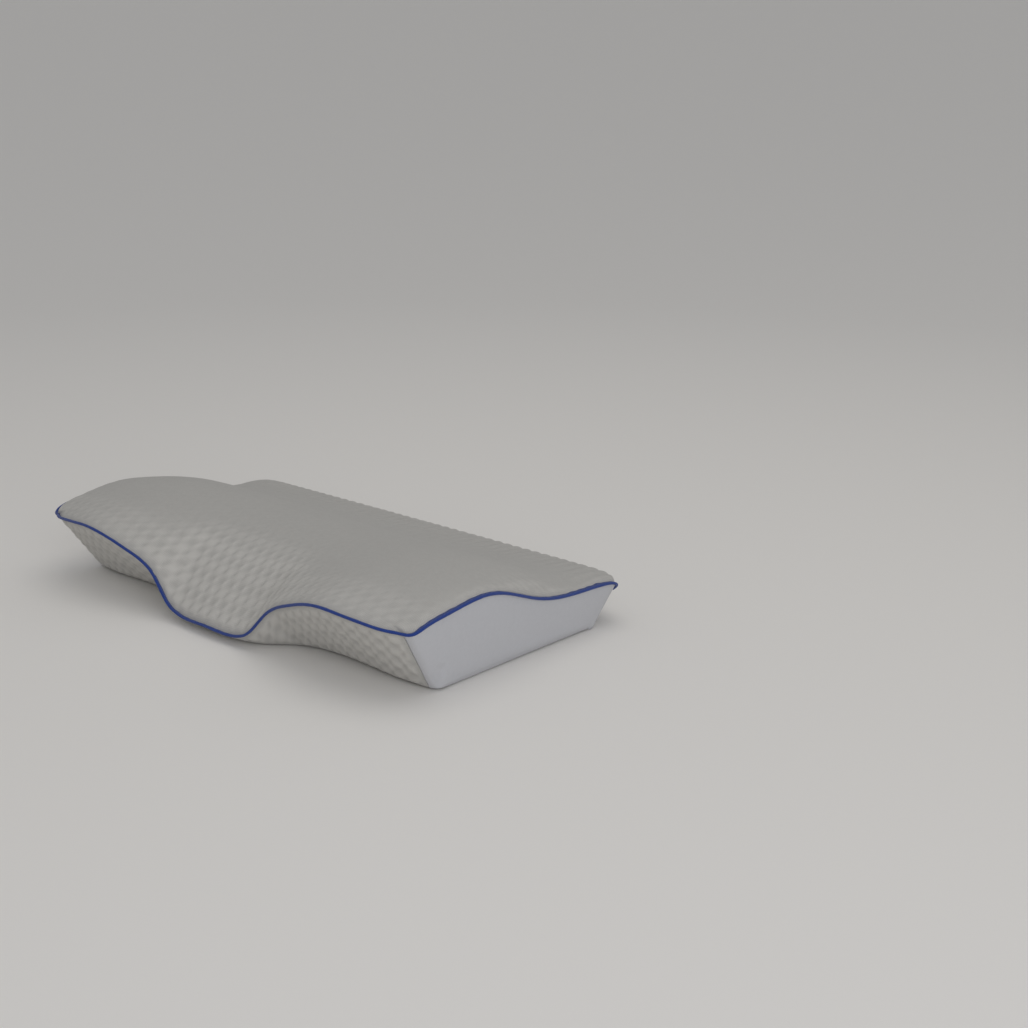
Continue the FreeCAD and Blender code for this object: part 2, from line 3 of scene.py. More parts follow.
import bpy
import numpy as np
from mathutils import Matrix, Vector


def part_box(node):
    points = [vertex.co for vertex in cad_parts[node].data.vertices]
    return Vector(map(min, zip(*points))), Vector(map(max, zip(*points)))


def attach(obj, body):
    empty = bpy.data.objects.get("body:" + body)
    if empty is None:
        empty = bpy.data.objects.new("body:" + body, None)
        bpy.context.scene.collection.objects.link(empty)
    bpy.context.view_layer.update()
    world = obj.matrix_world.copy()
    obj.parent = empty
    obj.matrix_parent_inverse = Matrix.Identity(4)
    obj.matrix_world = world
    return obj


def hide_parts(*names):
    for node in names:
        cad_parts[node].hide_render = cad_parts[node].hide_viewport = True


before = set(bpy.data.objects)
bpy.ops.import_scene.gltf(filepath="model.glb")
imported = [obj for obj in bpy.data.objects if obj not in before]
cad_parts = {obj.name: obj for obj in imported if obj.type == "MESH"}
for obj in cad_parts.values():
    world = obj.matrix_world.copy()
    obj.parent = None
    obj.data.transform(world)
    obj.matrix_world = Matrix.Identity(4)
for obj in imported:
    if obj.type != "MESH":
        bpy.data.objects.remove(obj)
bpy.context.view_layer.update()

scene = bpy.context.scene
mm = 0.001  # sizes below are in millimetres, and makePiece turns them to metres


# Small tools

def linear(hexColour):
    # sRGB hex to the linear colour that shaders take
    parts = np.array([int(hexColour[i:i + 2], 16) for i in (1, 3, 5)]) / 255
    light = np.where(parts <= 0.04045, parts / 12.92, ((parts + 0.055) / 1.055) ** 2.4)
    return (*light.tolist(), 1.0)


def unit(vectors):
    # each vector over its own length
    return vectors / np.linalg.norm(vectors, axis=-1, keepdims=True)


def smooth(values, low, high):
    # 0 below low, 1 above high, and an easy S between them
    share = np.clip((values - low) / (high - low), 0, 1)
    return share * share * (3 - 2 * share)


def cubic(ends, slopes, run, share):
    # cubic between two values with a slope at each, at a share of the run between them
    rest = 1 - share
    return (ends[0] * rest ** 2 * (1 + 2 * share) + ends[1] * share ** 2 * (1 + 2 * rest)
            + slopes[0] * run * share * rest ** 2 - slopes[1] * run * share ** 2 * rest)


def splineWeights(knots, samples):
    # matrix that takes values at the knots to a cubic spline at the samples: the slopes come from
    # equal curvature on both sides of a knot, and at each end from the cubic through four knots
    knots, samples = np.asarray(knots, float), np.asarray(samples, float)
    count = len(knots)
    run = np.diff(knots)
    left, right = np.zeros((count, count)), np.zeros((count, count))
    for i in range(1, count - 1):
        left[i, i - 1:i + 2] = 1 / run[i - 1], 2 / run[i - 1] + 2 / run[i], 1 / run[i]
        low, high = 3 / run[i - 1] ** 2, 3 / run[i] ** 2
        right[i, i - 1:i + 2] = -low, low - high, high
    for end, near in ((0, np.arange(4)), (count - 1, np.arange(count - 4, count))):
        left[end, end] = 1
        powers = np.vander(knots[near] - knots[end], 4, increasing=True)
        right[end, near] = np.linalg.inv(powers)[1]
    slopes = np.linalg.solve(left, right)
    index = np.clip(np.searchsorted(knots, samples, side="right") - 1, 0, count - 2)
    width = run[index][:, None]
    share = (samples - knots[index])[:, None] / width
    plain = np.eye(count)
    return cubic((plain[index], plain[index + 1]), (slopes[index], slopes[index + 1]), width, share)


def squared(values, power):
    # a sine or cosine raised to a power with its sign kept, which squares a circle off
    return np.sign(values) * np.abs(values) ** power


def wireRings(line, first, second, radius, sides):
    # circles round the points of a line: a cosine along the first way and a sine along the second
    turn = np.linspace(0, 2 * math.pi, sides, endpoint=False)[:, None]
    circle = np.cos(turn) * first[..., None, :] + np.sin(turn) * second[..., None, :]
    return line[..., None, :] + radius * circle


def gridFaces(countU, countV, start=0):
    # four corners of each cell of a grid, turning from the first direction to the second
    index = start + np.arange(countU * countV).reshape(countU, countV)
    corners = (index[:-1, :-1], index[1:, :-1], index[1:, 1:], index[:-1, 1:])
    return np.stack(corners, -1).reshape(-1, 4)


def gridNormals(points):
    # unit cross product of the two directions of a grid
    return unit(np.cross(np.gradient(points, axis=0), np.gradient(points, axis=1)))


# The pillow's form

pillow = dict(
    height=100, backSeam=29, backLean=52, crest=53, crestSetback=22, endLean=9,
    tongueHalf=58, shoulderRun=37, cornerRun=23, wingShares=(0.24, 0.50, 0.775, 1.0),
    wingLip=77, tongueFoot=20, topShares=(0.115, 0.23, 0.395, 0.60, 0.80),
    rollPlace=0.36, rollHeight=0.66, knots=(0, 0.10, 0.21, 0.36, 0.54, 0.72, 0.88, 0.95, 1),
    wall=2.2, baseRound=5.5, edgeRun=10.0, edgeDrop=4.0,
    rearRound=17.0, rearRun=90.0, frontRound=10.0, frontRun=110.0,
    rearDraw=7.0, drawRun=44.0,
)
footShare = 0.45  # the roll at the foot takes no more than this share of a low wall

# Stations from the middle to one end. Lip and foot stand back from the foremost line, the slope is
# a height, the others are drops below the full height, and the crest's is below its own height
stationTable = np.array((
    # lipBack lipDrop slope ridge hump middle dip crestDrop footBack
    (10, 67, 37, 31, 10, 18, 38, 0, 0),
    (12, 63, 41, 28, 9, 18, 38, 0, 9),
    (14, 30, 64, 19, 7, 17, 38, 0, 35),
    (7, 12, 79, 11, 4, 16, 38, 0, 43),
    (0, 0, 89, 5, 1, 15, 37, 0, 43),
    (3, 2, 88, 5, 2, 16, 38, 0, 41),
    (10, 6, 82, 9, 7, 22, 42, 0, 43),
    (19, 8, 79, 15, 12, 33, 45, 2, 44),
), float)

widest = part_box("end_panel_right")[1].x / mm
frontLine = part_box("cover_top_panel")[0].y / mm
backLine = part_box("cover_top_panel")[1].y / mm
backFoot = backLine - pillow["backSeam"] * math.tan(math.radians(pillow["backLean"]))
shoulder = pillow["tongueHalf"] + pillow["shoulderRun"]
cornerX = widest - pillow["cornerRun"]
stationPlaces = np.array([0, pillow["tongueHalf"], shoulder]
                         + [shoulder + (cornerX - shoulder) * share for share in pillow["wingShares"]]
                         + [widest])


def traitsAt(distance):
    # the table's columns at any distance from the middle: cubics whose slope at a station is that
    # of the chord between its neighbours
    places = np.concatenate(([-stationPlaces[1]], stationPlaces))
    rows = np.vstack((stationTable[1], stationTable))
    slopes = np.zeros_like(rows)
    slopes[1:-1] = (rows[2:] - rows[:-2]) / (places[2:] - places[:-2])[:, None]
    slopes[-1] = (rows[-1] - rows[-2]) / (places[-1] - places[-2])
    index = np.clip(np.searchsorted(places, distance, side="right") - 1, 1, len(places) - 2)
    run = (places[index + 1] - places[index])[:, None]
    share = (distance - places[index])[:, None] / run
    return cubic((rows[index], rows[index + 1]), (slopes[index], slopes[index + 1]), run, share)


def drawnBy(along, limit):
    # how far the back line comes forward near the ends: a parabola over the last stretch
    return pillow["rearDraw"] * np.clip((along - limit) / pillow["drawRun"] + 1, 0, 1) ** 2


def profilesAt(x):
    # eleven points (y, z) of the outer face at each x: front foot, lip, five top points, crest,
    # roll, back seam and back foot
    lipBack, lipDrop, slope, ridge, hump, middle, dip, crestDrop, footBack = traitsAt(np.abs(x)).T
    back = backLine - drawnBy(np.abs(x), widest)
    crestY = back - pillow["crestSetback"]
    crestZ = pillow["crest"] - crestDrop
    rollY = back - pillow["rollPlace"] * pillow["crestSetback"]
    rollZ = (1 - pillow["rollHeight"]) * pillow["backSeam"] + pillow["rollHeight"] * crestZ
    full = np.ones_like(x)
    y = [frontLine + pillow["tongueFoot"] + footBack, frontLine + lipBack]
    y += [frontLine + share * (crestY - frontLine) for share in pillow["topShares"]]
    y += [crestY, rollY, back, back - backLine + backFoot]
    z = [0 * full, pillow["wingLip"] - lipDrop, slope]
    z += [pillow["height"] - drop for drop in (ridge, hump, middle, dip)]
    z += [crestZ, rollZ, pillow["backSeam"] * full, 0 * full]
    return np.stack((np.stack(y, -1), np.stack(z, -1)), -1)


def endX(z):
    # the end plane leans in towards its foot from the hump down
    hump = pillow["height"] - stationTable[-1, 3]
    return widest - (hump - z) * math.tan(math.radians(pillow["endLean"]))


def frontEdge(z):
    # y of the end section's front outline: from its foot up to its lip, and the lip's above it
    lip = frontLine + stationTable[-1, 0]
    foot = frontLine + pillow["tongueFoot"] + stationTable[-1, -1]
    return lip + (foot - lip) * np.clip(1 - z / (pillow["wingLip"] - stationTable[-1, 1]), 0, 1)


def roundedIn(past, radius):
    # how far a quarter circle has drawn in, a way past its start
    return radius - np.sqrt(radius ** 2 - np.clip(past, 0, radius) ** 2)


def placed(x, section, inset=0.0):
    # section points (y, z) in space: near the ends the sections turn into the end plane and draw in
    # to a quarter circle at each corner; a body inside stands in by the inset
    limit = widest - inset / math.cos(math.radians(pillow["endLean"]))
    along = np.abs(x)[:, None]
    y, z = section[..., 0], section[..., 1]
    distance = along + np.clip((along - cornerX) / (limit - cornerX), 0, 1) * (endX(z) - widest)
    rear = y - backLine + drawnBy(along, limit) + pillow["rearRound"]
    front = frontEdge(z) + pillow["frontRound"] - y
    for corner, past in (("rear", rear), ("front", front)):
        radius, run = pillow[corner + "Round"], pillow[corner + "Run"]
        drawn = np.clip((along - limit + run) / run, 0, 1) ** 1.5
        distance = distance - drawn * roundedIn(past, radius - inset)
    return np.concatenate(((np.sign(x)[:, None] * distance)[..., None], section), -1)


def topSurface(x, samples):
    # cubic spline over the nine top points of each section, rolled down to its seam towards each
    # end by the square of the share of the way
    curve = np.einsum("vk,ukc->uvc", splineWeights(pillow["knots"], samples), profilesAt(x)[:, 1:-1])
    surface = placed(x, curve)
    share = np.clip((np.abs(x) - widest + pillow["edgeRun"]) / pillow["edgeRun"], 0, 1)
    inside = smooth(samples, 0, 0.04) * (1 - smooth(samples, 0.93, 1))
    surface[..., 2] -= pillow["edgeDrop"] * (share ** 2)[:, None] * inside
    return surface


def inwardOnFloor(foot):
    # way from the foot's outline to the bottom panel's: towards the middle in both directions
    end = endX(0) - pillow["frontRound"]
    rearFoot = backFoot - pillow["rearDraw"]
    share = np.clip((foot[:, 1] - frontEdge(0)) / (rearFoot - frontEdge(0)), 0, 1)
    way = np.stack((-np.clip(foot[:, 0] / end, -1, 1), 1 - 2 * share, 0 * share), -1)
    return way * pillow["baseRound"]


def rolled(start, corner, stop, share):
    # quadratic curve from start to stop that leans towards the corner between them
    return start * (1 - share) ** 2 + 2 * corner * share * (1 - share) + stop * share ** 2


def sideSurface(foot, upper, rows):
    # rows from the floor up to the upper edge: a quadratic curve that rolls off the floor round the
    # foot, then a straight wall
    rise = upper - foot
    length = np.linalg.norm(rise, axis=-1, keepdims=True)
    reach = np.minimum(pillow["baseRound"], footShare * length)
    start = foot + inwardOnFloor(foot) * reach / pillow["baseRound"]
    stop = foot + rise / length * reach
    curve = rolled(start[:, None], foot[:, None], stop[:, None], rows["roll"][None, :, None])
    straight = stop[:, None] + (upper - stop)[:, None] * rows["wall"][None, :, None]
    return np.concatenate((curve, straight[:, 1:]), 1)


def frontSurface(x, rows):
    # side wall from the front foot to the lip
    profile = placed(x, profilesAt(x)[:, :2])
    return sideSurface(profile[:, 0], profile[:, 1], rows)


def backSurface(x, rows):
    # side wall from the back foot to the back seam, turned round to face outwards
    profile = placed(x, profilesAt(x)[:, [-1, -2]])
    return sideSurface(profile[:, 0], profile[:, 1], rows)[::-1]


def floorSections(x, shares):
    # section points on the floor, from the front foot to the rear foot
    front, back = profilesAt(x)[:, 0, None], profilesAt(x)[:, -1, None]
    return front * (1 - shares)[None, :, None] + back * shares[None, :, None]


def depthShares(samples):
    # how far back each point of the end section lies, as a share of its depth
    y = topSurface(np.array([widest]), samples)[0, :, 1]
    return (y - y[0]) / (y[-1] - y[0])


def endSurface(samples, rows, side):
    # from the top curve of the end section straight down to the foot, at equal shares of the depth
    end = np.array([side * widest])
    foot = placed(end, floorSections(end, depthShares(samples)))[0]
    surface = sideSurface(foot, topSurface(end, samples)[0], rows)
    return surface if side > 0 else surface[::-1]


def bottomSurface(x, shares):
    # flat, between the front and back outlines, each in from the foot by the roll of the edge
    surface = placed(x, floorSections(x, shares))
    lip = placed(x, profilesAt(x)[:, 1:2])[:, 0]
    wall = np.linalg.norm(lip - surface[:, 0], axis=-1)
    reach = np.minimum(1, footShare * wall / pillow["baseRound"])
    front, back = inwardOnFloor(surface[:, 0]) * reach[:, None], inwardOnFloor(surface[:, -1])
    surface = surface + front[:, None] * (1 - shares)[None, :, None] + back[:, None] * shares[None, :, None]
    return surface[:, ::-1]


def rowsOf(rollSteps, wallSteps):
    # equal shares of the roll at the foot and of the wall above it
    return dict(roll=np.linspace(0, 1, rollSteps + 1), wall=np.linspace(0, 1, wallSteps + 1))


def evenSamples(count):
    # spline parameters that are evenly spaced along the section of a wing
    fine = np.linspace(0, 1, 2001)
    curve = topSurface(np.array([stationPlaces[4]]), fine)[0]
    length = np.concatenate(([0], np.cumsum(np.linalg.norm(np.diff(curve, axis=0), axis=1))))
    return np.interp(np.linspace(0, length[-1], count), length, fine)


# Making pieces

def makePiece(name, points, faces, material, slotName, replaced=(), body="root", maps=None):
    # one mesh from whole arrays: points in millimetres, faces as arrays of equal polygons, maps as
    # values at the points, where two columns make a UV map and one makes an attribute
    mesh = bpy.data.meshes.new(name)
    polygons = [polygon for group in faces for polygon in group.tolist()]
    mesh.from_pydata((np.asarray(points).reshape(-1, 3) * mm).tolist(), [], polygons)
    mesh.polygons.foreach_set("use_smooth", np.ones(len(mesh.polygons), bool))
    corner = np.empty(len(mesh.loops), np.int32)
    mesh.loops.foreach_get("vertex_index", corner)
    for key, values in (maps or {}).items():
        values = np.asarray(values, np.float32)
        if values.shape[-1] == 2 and values.ndim > 1:
            layer = mesh.uv_layers.new(name=key)
            layer.data.foreach_set("uv", values.reshape(-1, 2)[corner].ravel())
        else:
            layer = mesh.attributes.new(key, "FLOAT", "POINT")
            layer.data.foreach_set("value", values.ravel())
    mesh.materials.append(material)
    mesh.update()
    piece = bpy.data.objects.new(name, mesh)
    scene.collection.objects.link(piece)
    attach(piece, body)
    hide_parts(*replaced)
    return piece


def joined(parts):
    # several shapes of points and face groups as one
    points, faces, start = [], [], 0
    for shape, groups in parts:
        shape = shape.reshape(-1, 3)
        points.append(shape)
        faces += [group + start for group in groups]
        start += len(shape)
    return np.concatenate(points), faces


def thickPanel(outer, wall, coarse):
    # closed panel: the outer grid, an inner one of every few rows that lies a wall further in and
    # is drawn in at its edges, and a border of long faces between the two
    countU, countV = outer.shape[:2]
    inner = (outer - gridNormals(outer) * wall)[::coarse, ::coarse]
    inner[0] += unit(inner[1] - inner[0]) * wall
    inner[-1] += unit(inner[-2] - inner[-1]) * wall
    inner[:, 0] += unit(inner[:, 1] - inner[:, 0]) * wall
    inner[:, -1] += unit(inner[:, -2] - inner[:, -1]) * wall
    outerIndex = np.arange(countU * countV).reshape(countU, countV)
    innerIndex = outerIndex.size + np.arange(inner.shape[0] * inner.shape[1]).reshape(inner.shape[:2])
    outerEdges, innerEdges = ((index[:, 0], index[-1], index[::-1, -1], index[0, ::-1])
                              for index in (outerIndex, innerIndex))
    borders = []
    for out, within in zip(outerEdges, innerEdges):
        strip = np.column_stack((out[:-1].reshape(-1, coarse), out[coarse::coarse]))
        borders.append(np.column_stack((strip[:, ::-1], within[:-1], within[1:])))
    faces = [gridFaces(countU, countV), gridFaces(*inner.shape[:2], outerIndex.size)[:, ::-1]] + borders
    return np.concatenate((outer.reshape(-1, 3), inner.reshape(-1, 3))), faces


def withInner(values, coarse):
    # a map on the outer grid, repeated for the inner one's points
    tail = values[::coarse, ::coarse]
    width = values.shape[2:]
    return np.concatenate((values.reshape(-1, *width), tail.reshape(-1, *width)))


def sweptLoop(points):
    # closed loops (station, loop, xyz) joined into a tube with flat ends
    stations, loop = points.shape[:2]
    index = np.arange(stations * loop).reshape(stations, loop)
    after = np.roll(index, -1, axis=1)
    sides = np.stack((index[:-1], after[:-1], after[1:], index[1:]), -1).reshape(-1, 4)
    return points, [sides, index[:1, ::-1], index[-1:]]


def sewn(grids):
    # grids sewn into one mesh where their edge points agree: its points, its faces, and for each
    # point of the grids its number in the mesh
    points, faces = joined([(grid, [gridFaces(*grid.shape[:2])]) for grid in grids])
    rounded = np.round(points, 2)
    first, inverse = np.unique(rounded, axis=0, return_index=True, return_inverse=True)[1:]
    inverse = inverse.ravel()
    return points[first], [inverse[group] for group in faces], inverse


# Materials

def newMaterial(name):
    # an empty node material and its tree
    material = bpy.data.materials.new(name)
    material.use_nodes = True
    material.node_tree.nodes.clear()
    return material, material.node_tree
    return material, material.node_tree


def addNode(tree, kind, inputs=None, **settings):
    # a node with its settings, and its inputs as constants or links from other nodes' sockets
    made = tree.nodes.new("ShaderNode" + kind)
    for key, value in settings.items():
        setattr(made, key, value)
    for key, value in (inputs or {}).items():
        if isinstance(value, bpy.types.NodeSocket):
            tree.links.new(value, made.inputs[key])
        else:
            made.inputs[key].default_value = value
    return made


def finishMaterial(tree, shader):
    # the shader to the material's output
    addNode(tree, "OutputMaterial", {"Surface": shader.outputs["BSDF"]})


def twoShades(tree, factor, colours, start, stop):
    # colour ramp from the first shade to the second, between two values of the factor
    ramp = addNode(tree, "ValToRGB", {"Fac": factor})
    for element, colour, position in zip(ramp.color_ramp.elements, colours, (start, stop)):
        element.color = linear(colour)
        element.position = position
    return ramp.outputs["Color"]


def waveScale(period):
    # a wave texture's scale for bands that repeat after a length in millimetres, on metres
    return 2 * math.pi / (20 * period * mm)


def fabricWaves(tree, coordinates, across, along):
    # two crossed wave textures: ribs that repeat across and along the cloth
    made = []
    for direction, period in (("X", across), ("Y", along)):
        made.append(addNode(tree, "TexWave", {"Vector": coordinates, "Scale": waveScale(period),
                                              "Distortion": 0.6, "Detail": 1.0, "Detail Scale": 1.0},
                            wave_type="BANDS", bands_direction=direction))
    return made


def clothMaterial(name, colours, ribs, bump, sheen, roughness, source="UVMap", puff=0.0):
    # a cloth of two close shades, broken by a soft mottle, with crossed ribs of its yarn as bump;
    # the last argument is painted shade: how much lighter the bubble tops are painted than the valleys
    # between them, partly a real difference of the yarn
    material, tree = newMaterial(name)
    place = addNode(tree, "TexCoord").outputs["Object"]
    coordinates = place
    if source != "object":
        coordinates = addNode(tree, "UVMap", uv_map=source).outputs["UV"]
    cloud = addNode(tree, "TexNoise", {"Vector": place, "Scale": 260.0, "Detail": 4.0, "Roughness": 0.6})
    ribsAcross, ribsAlong = fabricWaves(tree, coordinates, *ribs)
    yarn = addNode(tree, "Math", {0: ribsAcross.outputs["Fac"], 1: ribsAlong.outputs["Fac"]},
                   operation="MULTIPLY").outputs[0]
    factor = 0.2
    parts = [(cloud.outputs["Fac"], 0.3), (yarn, 0.25)]
    if puff:
        # bubble height from the mesh: tops painted lighter and valleys painted darker, painted shade of the
        # hollows and partly a real yarn difference
        parts.append((addNode(tree, "Attribute", attribute_name="puff").outputs["Fac"], puff))
    for value, share in parts:
        factor = addNode(tree, "Math", {0: value, 1: share, 2: factor},
                         operation="MULTIPLY_ADD").outputs[0]
    fine = addNode(tree, "TexNoise", {"Vector": place, "Scale": 1600.0, "Detail": 2.0})
    relief = addNode(tree, "Math", {0: fine.outputs["Fac"], 1: 0.35, 2: yarn}, operation="MULTIPLY_ADD")
    bumped = addNode(tree, "Bump", {"Height": relief.outputs[0], "Strength": bump, "Distance": 0.4 * mm})
    finishMaterial(tree, addNode(tree, "BsdfPrincipled", {
        "Base Color": twoShades(tree, factor, colours, 0.15, 0.85), "Roughness": roughness,
        "Normal": bumped.outputs["Normal"], "Sheen Weight": sheen, "Sheen Roughness": 0.5,
        "Specular IOR Level": 0.25}))
    return material


def solidMaterial(name, colours, roughness, coat=0.0, grain=400.0, bump=0.1):
    # two close shades in a fine grain, for metal, nylon, foam and thread
    material, tree = newMaterial(name)
    place = addNode(tree, "TexCoord").outputs["Object"]
    cloud = addNode(tree, "TexNoise", {"Vector": place, "Scale": grain, "Detail": 5.0, "Roughness": 0.65})
    bumped = addNode(tree, "Bump", {"Height": cloud.outputs["Fac"], "Strength": bump, "Distance": 0.1 * mm})
    finishMaterial(tree, addNode(tree, "BsdfPrincipled", {
        "Base Color": twoShades(tree, cloud.outputs["Fac"], colours, 0.3, 0.7), "Roughness": roughness,
        "Coat Weight": coat, "Coat Roughness": 0.15, "Normal": bumped.outputs["Normal"]}))
    return material


# Bubble knit: matt white polyester double jersey, with painted shade in the valleys between its bubbles and
# painted light on their tops, partly a real difference of the yarn
bubbleKnit = clothMaterial("bubbleKnitPolyester", ("#a9a8a4", "#c6c4bf"), (1.5, 1.9), 0.5, 0.15, 0.92,
                           puff=0.5)
# Spacer knit: smooth and dense, a little colder than the bubble knit
smoothKnit = clothMaterial("spacerKnitPolyester", ("#bcbdc1", "#cecfd2"), (1.3, 1.3), 0.35, 0.15, 0.9)
# Bias tape: plain-woven cotton dyed royal blue, matt with a slight nap
biasTape = clothMaterial("biasTapeWovenCotton", ("#1c3379", "#2f4f9f"), (1.1, 1.1), 0.6, 0.2, 0.8)
# Jersey, woven polyester tape and satin: undyed, and smoother in that order
linerJersey = clothMaterial("linerCottonJersey", ("#cfcdc8", "#dedcd7"), (1.6, 1.6), 0.4, 0.1, 0.95,
                            "object")
zipWeave = clothMaterial("zipTapeWovenPolyester", ("#b8b7b3", "#cccac6"), (0.9, 1.2), 0.5, 0.1, 0.85)
labelSatin = clothMaterial("labelWovenSatin", ("#d6d4cf", "#e4e2dd"), (0.8, 2.4), 0.2, 0.3, 0.5)
# Memory foam: slow polyurethane foam with open cells, cream and dull
memoryFoam = solidMaterial("memoryFoamOpenCell", ("#d9cfae", "#e9e2c8"), 0.95, grain=900.0, bump=0.8)
# Twisted cotton and spun thread: dull and fibrous, so their grain is fine and their bump strong
cottonCord = solidMaterial("fillerTwistedCotton", ("#d8d2c4", "#e8e3d8"), 0.95, grain=1200.0, bump=0.5)
sewingThread = solidMaterial("threadSpunPolyester", ("#bdbbb6", "#d2d0cb"), 0.8, grain=1500.0, bump=0.4)
# Drawn nylon shines softly, and lacquered die-cast zinc has a clear coat over a dull white
nylonCoil = solidMaterial("zipCoilDrawnNylon", ("#c9c8c4", "#d8d7d3"), 0.35, grain=300.0)
lacqueredZinc = solidMaterial("zipDieCastLacqueredZinc", ("#c4c3bf", "#d2d1cd"), 0.3, coat=0.4, grain=250.0)


# Panels over the foam: the cloth solver swells a coarse skin, and the fine panels take its swelling

coarseStep = 4
panels = dict(columns=320, rows=228, rollSteps=4, coarseRoll=2, wallSteps=44)

fineX = np.linspace(-widest, widest, panels["columns"] + 1)
fineTop = evenSamples(panels["rows"] + 1)
fineRows = rowsOf(panels["rollSteps"], panels["wallSteps"])
coarseX = fineX[::coarseStep]
coarseTop = fineTop[::coarseStep]
coarseRows = rowsOf(panels["coarseRoll"], panels["wallSteps"] // coarseStep)


def everyRow(rows):
    # one running number for the rows of a side wall, by which the coarse ones lead to the fine
    return np.concatenate((rows["roll"] - 1, rows["wall"][1:]))


swelling = dict(frames=20, cap=1.0, share=0.9, heldBelow=0.5)
skinCloth = dict(quality=4, mass=0.3, tension_stiffness=15, compression_stiffness=15, bending_stiffness=2,
                 use_pressure=True, uniform_pressure_force=4.0, vertex_group_mass="held")


def sewnSkin():
    # the coarse surfaces as one closed mesh, and which of its points the seams and the base hold
    grids = [topSurface(coarseX, coarseTop), frontSurface(coarseX, coarseRows),
             endSurface(coarseTop, coarseRows, 1), endSurface(coarseTop, coarseRows, -1),
             backSurface(coarseX, coarseRows), bottomSurface(coarseX, depthShares(coarseTop))]
    points, faces, inverse = sewn(grids)
    edges = [np.ones(grid.shape[:2], bool) for grid in grids]
    for edge in edges:
        edge[1:-1, 1:-1] = False
    held = np.round(points[:, 2], 2) < swelling["heldBelow"]
    held[inverse[np.concatenate([edge.ravel() for edge in edges])]] = True
    return grids, points, faces, inverse, held


def swollen():
    # displacement of each coarse grid: the closed skin under pressure, each move scaled by a share
    # or to the cap, whichever is less
    grids, points, faces, inverse, held = sewnSkin()
    mesh = bpy.data.meshes.new("skin")
    mesh.from_pydata((points * mm).tolist(), [], [face for group in faces for face in group.tolist()])
    skin = bpy.data.objects.new("skin", mesh)
    scene.collection.objects.link(skin)
    skin.vertex_groups.new(name="held").add(np.flatnonzero(held).tolist(), 1.0, "REPLACE")
    cloth = skin.modifiers.new("cloth", "CLOTH")
    for key, value in skinCloth.items():
        setattr(cloth.settings, key, value)
    cloth.settings.effector_weights.gravity = 0
    cloth.point_cache.frame_end = swelling["frames"]
    for step in range(1, swelling["frames"] + 1):
        scene.frame_set(step)
    evaluated = skin.evaluated_get(bpy.context.evaluated_depsgraph_get())
    after = np.empty(len(points) * 3)
    evaluated.data.vertices.foreach_get("co", after)
    moved = after.reshape(-1, 3) / mm - points
    scene.frame_set(1)
    bpy.data.objects.remove(skin)
    length = np.linalg.norm(moved, axis=1, keepdims=True)
    print("swelling before the cap, mm", round(float(length.max()), 1))
    moved *= np.minimum(swelling["share"], swelling["cap"] / np.maximum(length, 1e-6))
    ends = np.cumsum([grid.shape[0] * grid.shape[1] for grid in grids])[:-1]
    return [part.reshape(grid.shape) for part, grid in zip(np.split(moved[inverse], ends), grids)]


def finer(moved, fromU, toU, fromV, toV):
    # a coarse grid's displacement on the fine grid, by splines both ways
    return np.einsum("iu,jv,uvc->ijc", splineWeights(fromU, toU), splineWeights(fromV, toV), moved)


swell = swollen()

knit = dict(pitch=15.0, row=11.5, slant=0.30, lean=0.10, dome=0.85, height=1.9, flat=0.10, wingLoss=0.55)
seam = dict(topDip=0.9, sideDip=0.15, reach=2.2, topPucker=0.35, knitPucker=0.25, plainPucker=0.15)
flute = dict(pitch=12.8, depth=0.6, sway=0.8, swayRun=37)


def bubbles(across, along):
    # staggered lattice of slanted domes: product of two cosines, sheared along the rows, with the
    # phase skewed so that each dome is steeper on one side
    turn = 2 * math.pi * (across / knit["pitch"] + knit["slant"] * along / knit["row"])
    turn = turn + 2 * math.pi * knit["lean"] * np.sin(turn)
    rows = math.pi * along / knit["row"]
    return np.clip(0.5 + 0.5 * np.cos(turn) * np.cos(rows), 0, 1) ** knit["dome"]


def edgeDistance(points):
    # distance along the grid from each point to each of the four edges
    stepU = np.linalg.norm(np.diff(points, axis=0, prepend=points[:1]), axis=-1)
    stepV = np.linalg.norm(np.diff(points, axis=1, prepend=points[:, :1]), axis=-1)
    goneU, goneV = np.cumsum(stepU, axis=0), np.cumsum(stepV, axis=1)
    return goneU, goneU[-1:] - goneU, goneV, goneV[:, -1:] - goneV


def seamed(distance, run):
    # puckers beside a seam: short waves along it that die out within a few millimetres
    waves = np.sin(run / 2.1) * 0.5 + np.sin(run / 3.4 + 1.3) * 0.3 + np.sin(run / 5.9 + 0.4) * 0.2
    return waves * np.exp(-distance / 6)


topShape = topSurface(fineX, fineTop)
if swell:
    topShape = topShape + finer(swell[0], coarseX, fineX, coarseTop, fineTop)
topOffs = edgeDistance(topShape)
topEdge = np.minimum.reduce(topOffs)
frontOff, backOff = topOffs[2:]
topX = topShape[..., 0]
# bubbles stand on the slopes and along the lip, and lie low on the flats and the wings
steep = 1 - gridNormals(topShape)[..., 2]
bold = np.maximum(smooth(steep, 0.02, 0.20), 1 - smooth(frontOff, 25, 70))
strength = knit["flat"] + (1 - knit["flat"]) * bold
strength = strength * (1 - knit["wingLoss"] * smooth(np.abs(topX), 70, 170))
fade = smooth(topEdge, 1.5, 9)
topBubble = bubbles(topX, backOff) * strength * fade
